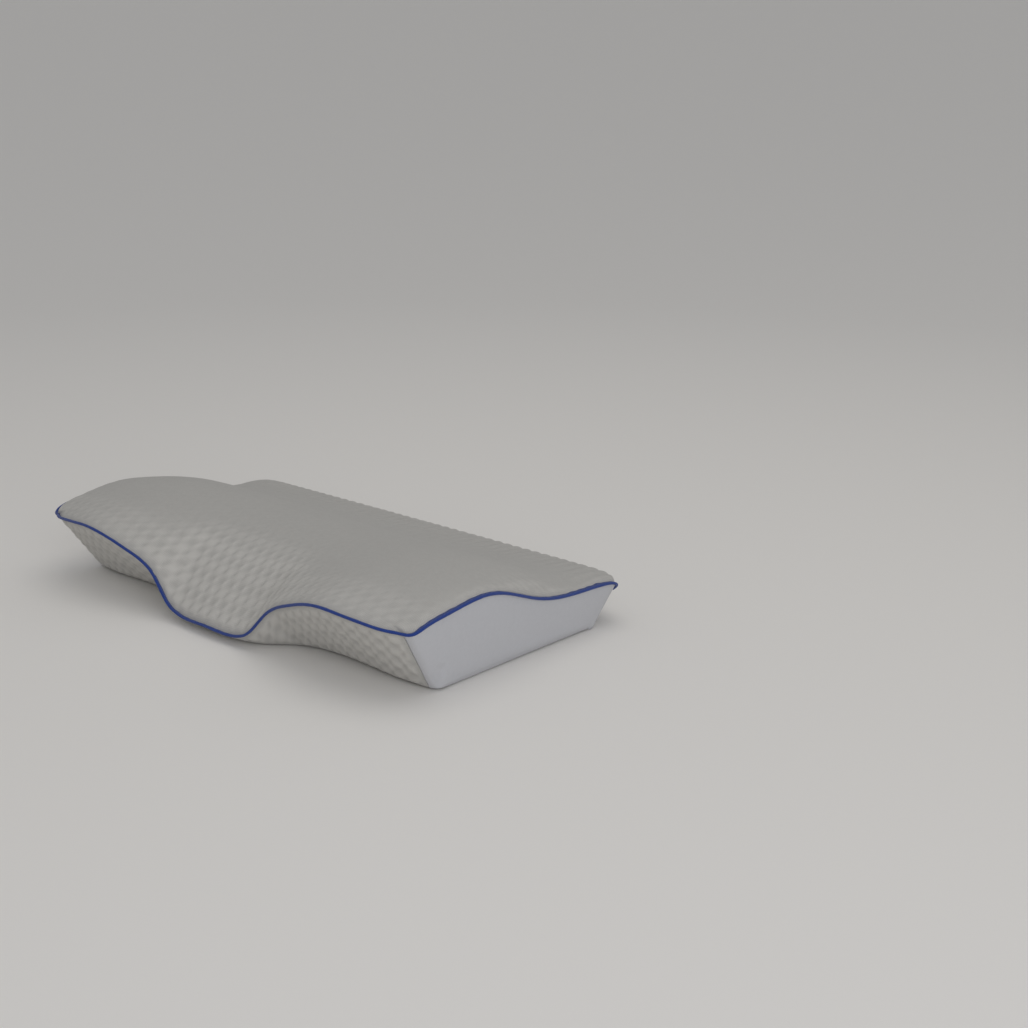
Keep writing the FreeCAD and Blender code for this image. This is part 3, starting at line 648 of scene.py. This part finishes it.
# quilt flutes run forward from the rear seam
flutes = np.sin(2 * math.pi * topX / flute["pitch"] + flute["sway"] * np.sin(topX / flute["swayRun"]))
flutes = flutes * smooth(backOff, 4, 18) * (1 - smooth(backOff, 50, 95)) * flute["depth"]
lift = topBubble * knit["height"] + flutes * fade
lift += seam["topPucker"] * np.where(topEdge < 25, seamed(topEdge, topX + topShape[..., 1]), 0)
lift -= seam["topDip"] * np.exp(-topEdge / seam["reach"])
topShape = topShape + gridNormals(topShape) * lift[..., None]
points, faces = thickPanel(topShape, pillow["wall"], coarseStep)
topMap = np.stack((topShape[..., 0], backOff), -1) * mm
# the bubble height also goes to the material, which paints shade into the valleys and light onto the tops
coverTop = makePiece("coverTop", points, faces, bubbleKnit, "bubble_knit", ["cover_top_panel"],
                     maps={"UVMap": withInner(topMap, coarseStep),
                           "puff": withInner(topBubble, coarseStep)})
print("cover top done")


def sidePanel(name, shape, material, slotName, cadName, bubbly, swelled, axes):
    # wall panel from a grid: swelling, bubbles or a plain stretch, and a rolled edge at each seam
    if swell:
        shape = shape + finer(swell[swelled], *axes)
    leftOff, rightOff, rise, seamOff = edgeDistance(shape)
    edge = np.minimum.reduce((leftOff, rightOff, seamOff))
    run, height = shape[..., 0] + shape[..., 1], shape[..., 2]
    bubble = bubbles(shape[..., 0], seamOff) * bubbly * smooth(edge, 1.5, 8) * smooth(height, 1, 9)
    pucker = seam["knitPucker"] if bubbly else seam["plainPucker"]
    lift = bubble * knit["height"] * 0.9
    lift = lift + pucker * seamed(edge, run) * smooth(height, 1, 6)
    lift = lift - seam["sideDip"] * np.exp(-edge / seam["reach"]) * smooth(height, 0.5, 4)
    shape = shape + gridNormals(shape) * lift[..., None]
    points, faces = thickPanel(shape, pillow["wall"], coarseStep)
    plan = np.stack((shape[..., 0] if bubbly else leftOff, rise), -1) * mm
    # the bubble height also goes to the material as painted shade in the valleys and painted light on the
    # tops
    maps = {"UVMap": withInner(plan, coarseStep), "puff": withInner(bubble, coarseStep)}
    makePiece(name, points, faces, material, slotName, [cadName], maps=maps)


wallRows = (everyRow(coarseRows), everyRow(fineRows))
sidePanel("frontBand", frontSurface(fineX, fineRows), bubbleKnit, "bubble_knit", "front_band",
          True, 1, (coarseX, fineX, *wallRows))
for side, label, index in ((1, "Right", 2), (-1, "Left", 3)):
    samples = (coarseTop, fineTop) if side > 0 else (1 - coarseTop[::-1], 1 - fineTop[::-1])
    sidePanel("endPanel" + label, endSurface(fineTop, fineRows, side), smoothKnit, "smooth_knit",
              "end_panel_" + label.lower(), False, index, (*samples, *wallRows))
print("side panels done")

base = dict(step=2, stand=0.05, dent=0.4)
bottomShape = bottomSurface(fineX[::base["step"]], depthShares(fineTop[::base["step"]]))
bottomBubble = bubbles(bottomShape[..., 0], bottomShape[..., 1])
fade = smooth(np.minimum.reduce(edgeDistance(bottomShape)), 1, 8)
bottomShape[..., 2] += base["stand"] + base["dent"] * (1 - bottomBubble) * fade
points, faces = thickPanel(bottomShape, pillow["wall"], base["step"])
# the bubble height also goes to the material as painted shade in the valleys and painted light on the tops
makePiece("bottomPanel", points, faces, bubbleKnit, "bubble_knit", ["cover_bottom_panel"],
          maps={"UVMap": withInner(bottomShape[..., :2] * mm, base["step"]),
                "puff": withInner(bottomBubble, base["step"])})
print("bottom panel done")


# Back band and its zip, in the band's own frame: along the pillow, down the slope, out of the face

band = dict(window=6.0, wall=2.2, ripple=0.12, patchLap=0.6, patchDepth=0.35, patchGap=1.2,
            length=math.hypot(pillow["backSeam"], backLine - backFoot))
lean = math.radians(pillow["backLean"])
bandMiddle = np.array((0, (backLine + backFoot) / 2, pillow["backSeam"] / 2))
bandAxes = np.array(((1, 0, 0), (0, -math.sin(lean), -math.cos(lean)),
                     (0, math.cos(lean), -math.sin(lean))))


def onBand(points):
    # along, down and out of the band, to the pillow's frame
    return bandMiddle + np.asarray(points, float) @ bandAxes


def thickLine(line, wall, capSteps=6):
    # closed loop round an open line (down, out): its face, its back a wall below, and a round fold
    # at its first end
    step = unit(np.gradient(line, axis=0))
    normal = np.stack((-step[:, 1], step[:, 0]), -1)
    if normal[0, 1] < 0:
        normal = -normal
    back = line - normal * wall
    middle = (line[0] + back[0]) / 2
    turn = np.linspace(0, math.pi, capSteps + 2)[1:-1, None]
    cap = middle + (back[0] - middle) * np.cos(turn) - step[0] * np.sin(turn) * wall / 2
    return np.concatenate((line, back[::-1], cap))


def bandEnd(z):
    # the strips end on the straight line from the rear foot to the rounded rear corner
    return endX(z) - pillow["rearRound"] * z / pillow["backSeam"]


def drawnIn(points):
    # the band's points brought forward with the back line, by their share of the way to its end
    moved = points.copy()
    along = np.abs(points[..., 0]) / bandEnd(points[..., 2]) * widest
    moved[..., 1] -= drawnBy(along, widest)
    return moved


def stripMap(points):
    # along the band, and down its slope
    points = points.reshape(-1, 3)
    return np.column_stack((points[:, 0], (points - bandMiddle) @ bandAxes[1])) * mm


def bandStrip(name, line, cadName, span=None, wave=0.0, count=120):
    # a thick line carried along the band over a span, or between the leaning end planes, with a
    # ripple of two sines out of its face
    loop = thickLine(line, band["wall"])
    flat = onBand(np.column_stack((np.zeros(len(loop)), loop)))
    high = bandEnd(flat[:, 2])
    low, high = span or (-high, high)
    along = low + (high - low) * np.linspace(0, 1, count)[:, None]
    points = np.broadcast_to(flat, (count, *flat.shape)).copy()
    points[..., 0] = along
    ripple = wave * (np.sin(along / 9.0) + 0.6 * np.sin(along / 4.7 + 1.0)) * bandAxes[2][:, None, None]
    points = drawnIn(points + np.moveaxis(ripple, 0, -1))
    points[..., 2] = np.maximum(points[..., 2], 0)
    if line[0, 0] < line[-1, 0]:
        points = points[:, ::-1]
    makePiece(name, *sweptLoop(points), smoothKnit, "smooth_knit", [cadName],
              maps={"UVMap": stripMap(points)})


def downLine(start, stop, count, crown=0.5):
    # straight down the slope with a slight crown out of the face
    share = np.linspace(0, 1, count)
    return np.column_stack((start + (stop - start) * share, crown * np.sin(math.pi * share)))


half = band["length"] / 2
foldAt = band["window"] + band["wall"] / 2
bandStrip("backBandUpper", downLine(-foldAt, -half, 12), "back_band_upper", wave=band["ripple"])

# the lower strip ends in the same roll under the pillow as the other walls
footDown = np.array((half, 0.0))
rollStart = footDown - np.array((pillow["baseRound"], 0))
rollStop = footDown + np.array((math.sin(lean), -math.cos(lean))) * pillow["baseRound"]
roll = rolled(rollStart, footDown, rollStop, np.linspace(0, 1, 9)[1:, None])
lowerLine = np.concatenate((downLine(foldAt, half - pillow["baseRound"], 8, 0.2), roll))
bandStrip("backBandLower", lowerLine, "back_band_lower", wave=band["ripple"])

patchReach = band["window"] + band["patchLap"]
patchLine = np.column_stack((np.linspace(-patchReach, patchReach, 8), np.full(8, -band["patchDepth"])))
patchEnd = bandEnd(pillow["backSeam"] / 2 + band["window"] / 2) - band["patchGap"]
bandStrip("zipEndPatchRight", patchLine, "zip_end_patch_right",
          (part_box("zip_end_patch_right")[0].x / mm, patchEnd), count=12)
bandStrip("zipEndPatchLeft", patchLine, "zip_end_patch_left",
          (-patchEnd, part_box("zip_end_patch_left")[1].x / mm), count=12)
print("back band done")


# Piping round the top: bias tape over a cord, with a flange into the seam

piping = dict(radius=1.5, stand=1.5, flangeDepth=5.0, flangeHalf=0.3, sides=16, openAngle=168,
              spacing=1.6, soften=3.6, endTilt=-0.35, cordRadius=0.85, strands=3, layLength=11.0)


def seamOutward(profile):
    # at the lip, and at the back seam: away from the two panels that meet there
    ways = []
    for at in (1, -2):
        total = unit(profile[:, at] - profile[:, at - 1])
        total = total + unit(profile[:, at + 1 if at > 0 else -1] - profile[:, at])
        ways.append(unit(np.stack((-total[:, 1], total[:, 0]), -1)))
    return ways


def pipingLine():
    # seam line once round from the middle of the back, and the way out of the seam at each point
    leanAway = math.cos(math.radians(pillow["endLean"]))
    profile = profilesAt(fineX)
    lipOut, seamOut = seamOutward(profile)
    lip = placed(fineX, profile[:, 1:2])[:, 0]
    lipOut = np.column_stack((np.zeros(len(fineX)), lipOut))
    samples = np.linspace(0, 1, 161)[1:-1]
    top = topSurface(np.array([widest]), samples)[0]
    tangent = unit(np.gradient(top, axis=0))
    flatOut = unit(np.column_stack((tangent[:, 1], -tangent[:, 0], np.zeros(len(top)))))
    topOut = unit(flatOut * leanAway + np.cross(flatOut, tangent) * piping["endTilt"])
    seam = placed(fineX, profile[:, -2:-1])[:, 0][::-1]
    backOut = np.broadcast_to(np.array((0, *seamOut[0])), seam.shape).copy()
    mirror = np.array((-1, 1, 1))
    line = np.concatenate((lip, top, seam, (top * mirror)[::-1]))
    out = np.concatenate((lipOut, topOut, backOut, (topOut * mirror)[::-1]))
    line = line + out * piping["stand"]
    return evenly(line, out)


def evenly(line, out):
    # the closed line at even spacing, softened by repeated averaging with its neighbours
    closed, closedOut = np.vstack((line, line[:1])), np.vstack((out, out[:1]))
    length = np.concatenate(([0], np.cumsum(np.linalg.norm(np.diff(closed, axis=0), axis=1))))
    count = int(length[-1] / piping["spacing"])
    at = np.linspace(0, length[-1], count, endpoint=False)
    line = np.stack([np.interp(at, length, closed[:, i]) for i in range(3)], -1)
    out = np.stack([np.interp(at, length, closedOut[:, i]) for i in range(3)], -1)
    for _ in range(int(2 * (piping["soften"] / piping["spacing"]) ** 2)):
        line = (np.roll(line, 1, 0) + 2 * line + np.roll(line, -1, 0)) / 4
        out = (np.roll(out, 1, 0) + 2 * out + np.roll(out, -1, 0)) / 4
    start = np.argmin(np.abs(line[:, 0]) - line[:, 1])  # the middle of the back
    return np.roll(line, -start, 0), np.roll(out, -start, 0)


line, out = pipingLine()
tangent = unit(np.roll(line, -1, 0) - np.roll(line, 1, 0))
out = unit(out - tangent * np.sum(out * tangent, -1, keepdims=True))
side = np.cross(tangent, out)
gone = np.arange(len(line)) * piping["spacing"]


def ring(closedLoop):
    # a closed tube of closed loops
    stations, loop = closedLoop.shape[:2]
    index = np.arange(stations * loop).reshape(stations, loop)
    after, ahead = np.roll(index, -1, 1), np.roll(index, -1, 0)
    return [np.stack((index, after, np.roll(after, -1, 0), ahead), -1).reshape(-1, 4)]


# tape section (out of the seam, across it): nearly a circle with slight wrinkles, then the flange
angles = np.radians(np.linspace(-piping["openAngle"], piping["openAngle"], piping["sides"]))
wrinkle = 1 + 0.03 * np.sin(gone / 1.9)[:, None] * np.cos(2 * angles) + 0.02 * np.sin(gone / 5.3)[:, None]
circle = piping["radius"] * np.stack((np.cos(angles), np.sin(angles)), -1) * wrinkle[..., None]
flange = np.array(((-piping["flangeDepth"], piping["flangeHalf"]),
                   (-piping["flangeDepth"], -piping["flangeHalf"])))
section = np.concatenate((circle, np.broadcast_to(flange, (len(line), 2, 2))), 1)
tape = line[:, None] + out[:, None] * section[..., :1] + side[:, None] * section[..., 1:]
# the weave of bias tape lies at 45 degrees to the piping
around = np.concatenate((angles * piping["radius"], (7.0, -7.0)))
biasMap = np.stack((gone[:, None] + around, gone[:, None] - around), -1) * math.sqrt(0.5) * mm
makePiece("pipingSleeve", tape, ring(tape), biasTape, "piping_blue", ["piping_sleeve"],
          maps={"UVMap": biasMap})

# twisted filler cord: strands that turn round the line
parts = []
strandRadius = piping["cordRadius"] / 2
for strand in range(piping["strands"]):
    phase = 2 * math.pi * (gone / piping["layLength"] + strand / piping["strands"])[:, None]
    centre = line + strandRadius * (np.cos(phase) * out + np.sin(phase) * side)
    loop = wireRings(centre, out, side, strandRadius, 6)
    parts.append((loop, ring(loop)))
points, faces = joined(parts)
makePiece("pipingCord", points, faces, cottonCord, "piping_filler", ["piping_cord"])
print("piping done")


# Foam core and liner, under the cover

core = dict(linerDepth=3.1, foamDepth=4.7, linerWall=0.9, zipRoom=3.0, columns=112, rows=84, wallSteps=14)


def movedIn(profile, inset, backInset):
    # each section moved in: corners to where the moved sides meet, points between along the normal
    step = unit(np.diff(profile, axis=1))
    normal = np.stack((step[..., 1], -step[..., 0]), -1)

    def corner(first, second, a, b):
        # where two sides meet once each has moved in along its normal by its own amount
        cross = first[:, 0] * second[:, 1] - first[:, 1] * second[:, 0]
        y = (a * second[:, 1] - b * first[:, 1]) / cross
        z = (b * first[:, 0] - a * second[:, 0]) / cross
        return np.stack((y, z), -1)

    moved = profile.copy()
    down = np.zeros_like(normal[:, 0]) + np.array((0.0, 1.0))
    moved[:, 0] += corner(down, normal[:, 0], inset, inset)
    moved[:, 1] += corner(normal[:, 0], normal[:, 1], inset, inset)
    between = unit(profile[:, 3:-2] - profile[:, 1:-4])
    moved[:, 2:-3] += inset * np.stack((between[..., 1], -between[..., 0]), -1)
    last = unit(profile[:, -2] - profile[:, -4])
    moved[:, -3] += inset * np.stack((last[:, 1], -last[:, 0]), -1)
    moved[:, -2] += corner(normal[:, -2], normal[:, -1], inset, backInset)
    moved[:, -1] += corner(normal[:, -1], down, backInset, inset)
    return moved


def innerBody(inset, backInset):
    # closed body of grids: top, front, back, bottom and the two ends, sewn where their edges agree
    x = np.linspace(-widest, widest, core["columns"] + 1)
    samples = evenSamples(core["rows"] + 1)
    profile = movedIn(profilesAt(x), inset, backInset)
    x = x * (1 - inset / math.cos(math.radians(pillow["endLean"])) / widest)
    climb = np.linspace(0, 1, core["wallSteps"] + 1)[None, :, None]
    weights = splineWeights(pillow["knots"], samples)

    top = placed(x, np.einsum("vk,ukc->uvc", weights, profile[:, 1:-1]), inset)
    corners = placed(x, profile[:, [0, 1, -2, -1]], inset)[:, :, None]
    front = corners[:, 0] * (1 - climb) + corners[:, 1] * climb
    back = (corners[:, 3] * (1 - climb) + corners[:, 2] * climb)[::-1]
    share = depthShares(samples)[None, :, None]
    bottom = corners[:, 0] * (1 - share) + corners[:, 3] * share
    right = bottom[-1][:, None] * (1 - climb) + top[-1][:, None] * climb
    left = (bottom[0][:, None] * (1 - climb) + top[0][:, None] * climb)[::-1]
    grids = [top, front, back, bottom[:, ::-1], right, left]
    return sewn(grids)[:2]


points, faces = innerBody(core["foamDepth"], core["foamDepth"] + core["zipRoom"])
foamCore = makePiece("foamCore", points, faces, memoryFoam, "memory_foam", ["foam_core"])
outside = innerBody(core["linerDepth"], core["linerDepth"] + core["zipRoom"])
depth = core["linerDepth"] + core["linerWall"]
inside = innerBody(depth, depth + core["zipRoom"])
points, faces = joined([outside, (inside[0], [group[:, ::-1] for group in inside[1]])])
makePiece("innerLiner", points, faces, linerJersey, "liner_jersey", ["inner_liner"])
print("foam core and liner done")


# Zip: tapes, coils, stops, slider and pull

zipper = dict(tapeNear=0.7, tapeWidth=10.0, tapeTop=-2.72, tapeWall=0.55, coilNear=0.45, coilWidth=2.6,
              coilHeight=1.9, coilStand=0.07, coilEnd=0.4, coilLean=0.18, coilSquare=0.7, wire=0.36,
              pitch=1.5, turnSteps=12)
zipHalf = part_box("zip_coil_upper")[1].x / mm
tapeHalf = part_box("zip_tape_upper")[1].x / mm

for sign, label in ((-1, "upper"), (1, "lower")):
    along = np.linspace(-tapeHalf, tapeHalf, 160)[:, None]
    across = np.linspace(0, 1, 9)
    down = sign * (zipper["tapeNear"] + zipper["tapeWidth"] * across)
    out = zipper["tapeTop"] + 0.05 * np.sin(along / 6) * across
    face = np.stack(np.broadcast_arrays(along, down, out), -1)
    loop = np.concatenate((face, (face - np.array((0, 0, zipper["tapeWall"])))[:, ::-1]), 1)
    points, faces = sweptLoop(onBand(loop[:, ::-sign]))
    makePiece("zipTape" + label.capitalize(), points, faces, zipWeave, "zip_tape", ["zip_tape_" + label],
              maps={"UVMap": stripMap(points)})

    # nylon coil: a wire that turns once in each pitch, in flattened loops with a head at the middle
    steps = np.arange(int(2 * zipHalf / zipper["pitch"] * zipper["turnSteps"]))
    turn = steps * 2 * math.pi / zipper["turnSteps"]
    reachDown = zipper["coilWidth"] / 2 - zipper["wire"]
    reachOut = zipper["coilHeight"] / 2 - zipper["wire"]
    start = -zipHalf + zipper["coilEnd"] + zipper["pitch"] / 2 * (sign > 0)
    span = 2 * zipHalf - 2 * zipper["coilEnd"] - zipper["pitch"]
    middleDown = zipper["coilNear"] + zipper["coilWidth"] / 2
    middleOut = zipper["tapeTop"] + zipper["coilStand"] + zipper["coilHeight"] / 2
    wire = np.column_stack((
        start + span * steps / len(steps) + zipper["coilLean"] * np.sin(turn),
        sign * (middleDown - reachDown * squared(np.cos(turn), zipper["coilSquare"])),
        middleOut + reachOut * squared(np.sin(turn), zipper["coilSquare"])))
    ahead = unit(np.gradient(wire, axis=0))
    first = unit(np.cross(ahead, np.array((1.0, 0, 0))))
    loop = wireRings(wire, first, np.cross(ahead, first), zipper["wire"], 6)
    makePiece("zipCoil" + label.capitalize(), *sweptLoop(onBand(loop)), nylonCoil, "zip_coil",
              ["zip_coil_" + label])
print("zip tapes and coils done")


def stackedPlate(outline, low, high, edge):
    # a plate with rounded rims: rings of its outline (along, down) that draw in at top and bottom
    steps = np.linspace(0, math.pi / 2, 5)
    inset = np.concatenate((edge * (1 - np.sin(steps)), edge * (1 - np.cos(steps))))
    height = np.concatenate((low + edge * (1 - np.cos(steps)), high - edge * (1 - np.sin(steps))))
    step = unit(np.roll(outline, -1, 0) - np.roll(outline, 1, 0))
    normal = np.stack((step[:, 1], -step[:, 0]), -1)
    rings = outline - normal * inset[:, None, None]
    heights = np.broadcast_to(height[:, None, None], (*rings.shape[:2], 1))
    return sweptLoop(onBand(np.concatenate((rings, heights), -1)))


def superellipse(centreX, centreY, halfX, halfY, power, count=40):
    # rounded outline between an ellipse and a box
    turn = np.linspace(0, 2 * math.pi, count, endpoint=False)
    x, y = squared(np.cos(turn), 2 / power), squared(np.sin(turn), 2 / power)
    return np.column_stack((centreX + halfX * x, centreY + halfY * y))


stop = dict(length=5.0, inset=0.3, under=-3.6, top=-0.55, half=3.2, apart=1.95, topHalf=1.15, edge=0.4)
stopHalf = 0.7 * (stop["length"] / 2 - stop["inset"])
stopMiddle = zipHalf + stop["length"] / 2
bottomStop = superellipse(-stopMiddle, 0, stopHalf, stop["half"], 6)
topStops = [superellipse(stopMiddle, sign * stop["apart"], stopHalf, stop["topHalf"], 5)
            for sign in (-1, 1)]
for name, cadName, outlines in (("zipBottomStop", "zip_bottom_stop", [bottomStop]),
                                ("zipTopStops", "zip_top_stops", topStops)):
    plates = [stackedPlate(outline, stop["under"], stop["top"], stop["edge"]) for outline in outlines]
    makePiece(name, *joined(plates), lacqueredZinc, "zip_metal", [cadName])

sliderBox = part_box("zip_slider")
sliderX = (sliderBox[0].x + sliderBox[1].x) / 2 / mm
slider = dict(halfLength=5.5, halfWidth=4.4, plateUnder=-0.4, plateTop=0.6, plateEdge=0.35, lowTop=-3.6,
              lowUnder=-4.6, channel=3.4, flangeShare=0.82, flangeUnder=-2.4, overlap=0.3, postLength=2.2,
              postHalf=0.4, archHalf=3.0, archWidth=0.9, archTop=3.3, archWall=0.5, archSink=0.2)
plate = superellipse(sliderX, 0, slider["halfLength"], slider["halfWidth"], 4)
flangeTop = slider["plateUnder"] + slider["overlap"]
flangeFoot = slider["lowTop"] - slider["overlap"]
parts = [stackedPlate(plate, slider["plateUnder"], slider["plateTop"], slider["plateEdge"]),
         stackedPlate(plate, slider["lowUnder"], slider["lowTop"], slider["plateEdge"])]
for sign in (-1, 1):
    outline = superellipse(sliderX, sign * (slider["channel"] + slider["halfWidth"]) / 2,
                           slider["halfLength"] * slider["flangeShare"],
                           (slider["halfWidth"] - slider["channel"]) / 2, 5)
    parts.append(stackedPlate(outline, slider["flangeUnder"], flangeTop, 0.2))
    parts.append(stackedPlate(outline, flangeFoot, slider["lowTop"] + 0.28, 0.1))
post = superellipse(sliderX, 0, slider["postLength"], slider["postHalf"], 4)
parts.append(stackedPlate(post, flangeFoot, flangeTop, 0.05))
# the bridge: a flat bar bent over the pin, along a raised superellipse arc
turn = np.linspace(0, math.pi, 25)
archFoot = slider["plateTop"] - slider["archSink"]
archRise = slider["archTop"] - slider["archWall"] - archFoot
path = np.column_stack((sliderX + (slider["archHalf"] - slider["archWall"]) * squared(np.cos(turn), 0.55),
                        archFoot + archRise * np.sin(turn) ** 0.55))
step = unit(np.gradient(path, axis=0))
bar = np.linspace(0, 2 * math.pi, 16, endpoint=False)
barOut = slider["archWall"] * squared(np.sin(bar), 0.5)
bridge = np.stack(np.broadcast_arrays(path[:, :1] + step[:, 1:] * barOut,
                                      slider["archWidth"] * squared(np.cos(bar), 0.5),
                                      path[:, 1:] - step[:, :1] * barOut), -1)
parts.append(sweptLoop(onBand(bridge)))
makePiece("zipSlider", *joined(parts), lacqueredZinc, "zip_metal", ["zip_slider"], body="slider")

pull = dict(pinOut=1.45, pinRadius=0.55, pinHalf=3.2, halfWidth=3.5, length=26.0, wall=0.55, edge=0.25,
            holeAt=4.5, holeRadius=1.75, neckAt=4.2, armApart=2.35)
freeEnd, neck = sliderX - pull["length"], sliderX - pull["neckAt"]
turn = np.linspace(0, 2 * math.pi, 48, endpoint=False)
holeX = freeEnd + pull["holeAt"]
# the blade's outline, met by rays from the middle of the hole, so that rings join the two
dense = superellipse((freeEnd + neck) / 2, 0, (neck - freeEnd) / 2, pull["halfWidth"], 5, 720)
rays = np.arctan2(dense[:, 1], dense[:, 0] - holeX) % (2 * math.pi)
order = np.argsort(rays)
reach = np.hypot(dense[order, 0] - holeX, dense[order, 1])
outlineReach = np.interp(turn, rays[order], reach, period=2 * math.pi)
low, high = pull["pinOut"] - pull["wall"], pull["pinOut"] + pull["wall"]


def flatRing(reach, out):
    # ring of points round the hole's middle at a reach, in a plane a way out of the band
    return np.column_stack((holeX + reach * np.cos(turn), reach * np.sin(turn), np.full(len(turn), out)))


rings = np.stack([flatRing(reach, out) for reach, out in (
    (outlineReach, low + pull["edge"]), (outlineReach, high - pull["edge"]), (outlineReach * 0.985, high),
    (pull["holeRadius"] * 1.12, high), (pull["holeRadius"], high - pull["edge"]),
    (pull["holeRadius"], low + pull["edge"]), (pull["holeRadius"] * 1.12, low),
    (outlineReach * 0.985, low))])
blade = np.swapaxes(onBand(rings), 0, 1)
parts = [(blade[:, ::-1], ring(blade))]
for sign in (-1, 1):
    arm = superellipse((neck + sliderX) / 2 + 0.1, sign * pull["armApart"], pull["neckAt"] / 2 + 0.6, 1, 4)
    parts.append(stackedPlate(arm, low, high, 0.3))
pinLine = np.zeros((9, 3)) + (sliderX, 0, pull["pinOut"])
pinLine[:, 1] = np.linspace(-pull["pinHalf"], pull["pinHalf"], 9)
ways = np.eye(3)
parts.append(sweptLoop(onBand(wireRings(pinLine, ways[0], ways[2], pull["pinRadius"], 16))[:, ::-1]))
makePiece("zipPull", *joined(parts), lacqueredZinc, "zip_metal", ["zip_pull"], body="pull")

# Care label: blank satin ribbon, folded once, that curls a little off the upper strip
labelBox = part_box("care_label")
ribbon = dict(start=-18.6, width=13.0, wall=0.45, stand=0.95, curl=1.4, ripple=0.25)
share = np.linspace(1, 0, 16)
ribbonOut = ribbon["stand"] + ribbon["curl"] * share ** 2.2
loop = thickLine(np.column_stack((ribbon["start"] + ribbon["width"] * share, ribbonOut)), ribbon["wall"])
along = np.linspace(labelBox[0].x / mm, labelBox[1].x / mm, 24)[:, None]
ripple = ribbon["ripple"] * np.sin((along - along[0]) / 6)
points = onBand(np.stack(np.broadcast_arrays(along, loop[:, 0], loop[:, 1] + ripple), -1))
makePiece("careLabel", *sweptLoop(points), labelSatin, "label_satin", ["care_label"],
          maps={"UVMap": stripMap(points)})


# Stitches

stitch = dict(length=3.0, pitch=4.0, off=3.4, stand=0.15, radius=0.28, arch=0.3,
              tackFrom=5.6, tackTo=8.2, tackPitch=1.1, tackHalf=6.5, tackSkew=0.5, tackStand=-0.3)


def stitchRow(starts, stops):
    # one short thread for each pair of places on the band: a low arch of six rings with pointed ends
    starts, stops = drawnIn(onBand(starts)), drawnIn(onBand(stops))
    share = np.linspace(0, 1, 6)
    swell = np.sin(math.pi * share)[:, None]
    way = stops - starts
    along = unit(way)
    across = unit(np.cross(bandAxes[2], along))[:, None]
    up = np.cross(along[:, None], across)
    spine = starts[:, None] + way[:, None] * share[None, :, None] + up * (stitch["arch"] * swell)[None]
    loops = wireRings(spine, across, up, stitch["radius"] * (0.35 + 0.65 * swell)[:, None], 6)
    return [sweptLoop(loop) for loop in loops]


def bandPlaces(along, down, out):
    # places on the band from three columns, where a single number fills its own
    return np.stack(np.broadcast_arrays(along, down, out), -1).astype(float)


parts = []
for sign in (-1, 1):
    down = sign * (band["window"] + stitch["off"])
    last = bandEnd(pillow["backSeam"] / 2 + abs(down)) - 6
    along = np.arange(-last, last - stitch["length"], stitch["pitch"])
    parts += stitchRow(bandPlaces(along, down, stitch["stand"]),
                       bandPlaces(along + stitch["length"], down, stitch["stand"]))
for sign in (-1, 1):  # bar tacks across the zip's two ends
    down = np.arange(-stitch["tackHalf"], stitch["tackHalf"] + 0.1, stitch["tackPitch"])
    parts += stitchRow(bandPlaces(sign * (zipHalf + stitch["tackFrom"]), down, stitch["tackStand"]),
                       bandPlaces(sign * (zipHalf + stitch["tackTo"]), down + stitch["tackSkew"],
                                    stitch["tackStand"]))
makePiece("zipStitches", *joined(parts), sewingThread, "smooth_knit")
print("zip, label and stitches done")


# Stage, light and camera

stage = dict(flat=2.2, far=9.0, rim=4.2, rings=96, below=0.0006, colour="#efede9")
share = np.linspace(0, 1, 24)
radius = np.concatenate(([0.001, 0.6, 1.2], stage["flat"] + (stage["far"] - stage["flat"]) * share))
rise = np.concatenate(([0, 0, 0], stage["rim"] * share ** 1.8)) - stage["below"]
spin = np.linspace(0, 2 * math.pi, stage["rings"], endpoint=False)
bowl = np.stack(np.broadcast_arrays(radius[:, None] * np.cos(spin), radius[:, None] * np.sin(spin),
                                    rise[:, None]), -1)
points, faces = sweptLoop(bowl)
mesh = bpy.data.meshes.new("floor")
mesh.from_pydata(points.reshape(-1, 3).tolist(), [], faces[0].tolist())
mesh.polygons.foreach_set("use_smooth", np.ones(len(mesh.polygons), bool))
floorPaint, tree = newMaterial("floorMattPaint")
finishMaterial(tree, addNode(tree, "BsdfPrincipled", {
    "Base Color": linear(stage["colour"]), "Roughness": 0.95, "Specular IOR Level": 0.1}))
mesh.materials.append(floorPaint)
floor = bpy.data.objects.new("floor", mesh)
scene.collection.objects.link(floor)

world = bpy.data.worlds.new("studio")
scene.world = world
world.use_nodes = True
world.node_tree.nodes["Background"].inputs["Color"].default_value = linear("#e6e7ea")
world.node_tree.nodes["Background"].inputs["Strength"].default_value = 0.50


def softLight(name, place, target, size, power, colour):
    # a round area light that faces its target: yaw from the way's plan, pitch from its fall
    data = bpy.data.lights.new(name, "AREA")
    data.shape = "DISK"
    data.size = size
    data.energy = power
    data.color = linear(colour)[:3]
    light = bpy.data.objects.new(name, data)
    light.location = place
    way = np.array(target) - np.array(place)
    pitch = math.atan2(math.hypot(way[0], way[1]), -way[2])
    light.rotation_euler = (pitch, 0, math.pi + math.atan2(way[0], -way[1]))
    scene.collection.objects.link(light)


softLight("overhead", (0.3, 0.2, 2.3), (0, 0, 0), 2.4, 9.5, "#fffaf2")
softLight("rightSide", (2.2, -1.3, 0.9), (0, 0, 0.05), 1.8, 17, "#f8f9ff")

view = dict(azimuth=43.4, elevation=16.3, place=(1.147, -1.010, 0.537), lens=52.8, shift=0.058, sensor=36)
lens = bpy.data.cameras.new("camera")
lens.lens = view["lens"]
lens.sensor_width = view["sensor"]
lens.shift_x = view["shift"]
camera = bpy.data.objects.new("camera", lens)
camera.location = view["place"]
camera.rotation_euler = (math.radians(90 - view["elevation"]), 0, math.radians(view["azimuth"]))
scene.collection.objects.link(camera)
scene.camera = camera
scene.view_settings.view_transform = "Standard"
print("stage, light and camera done")
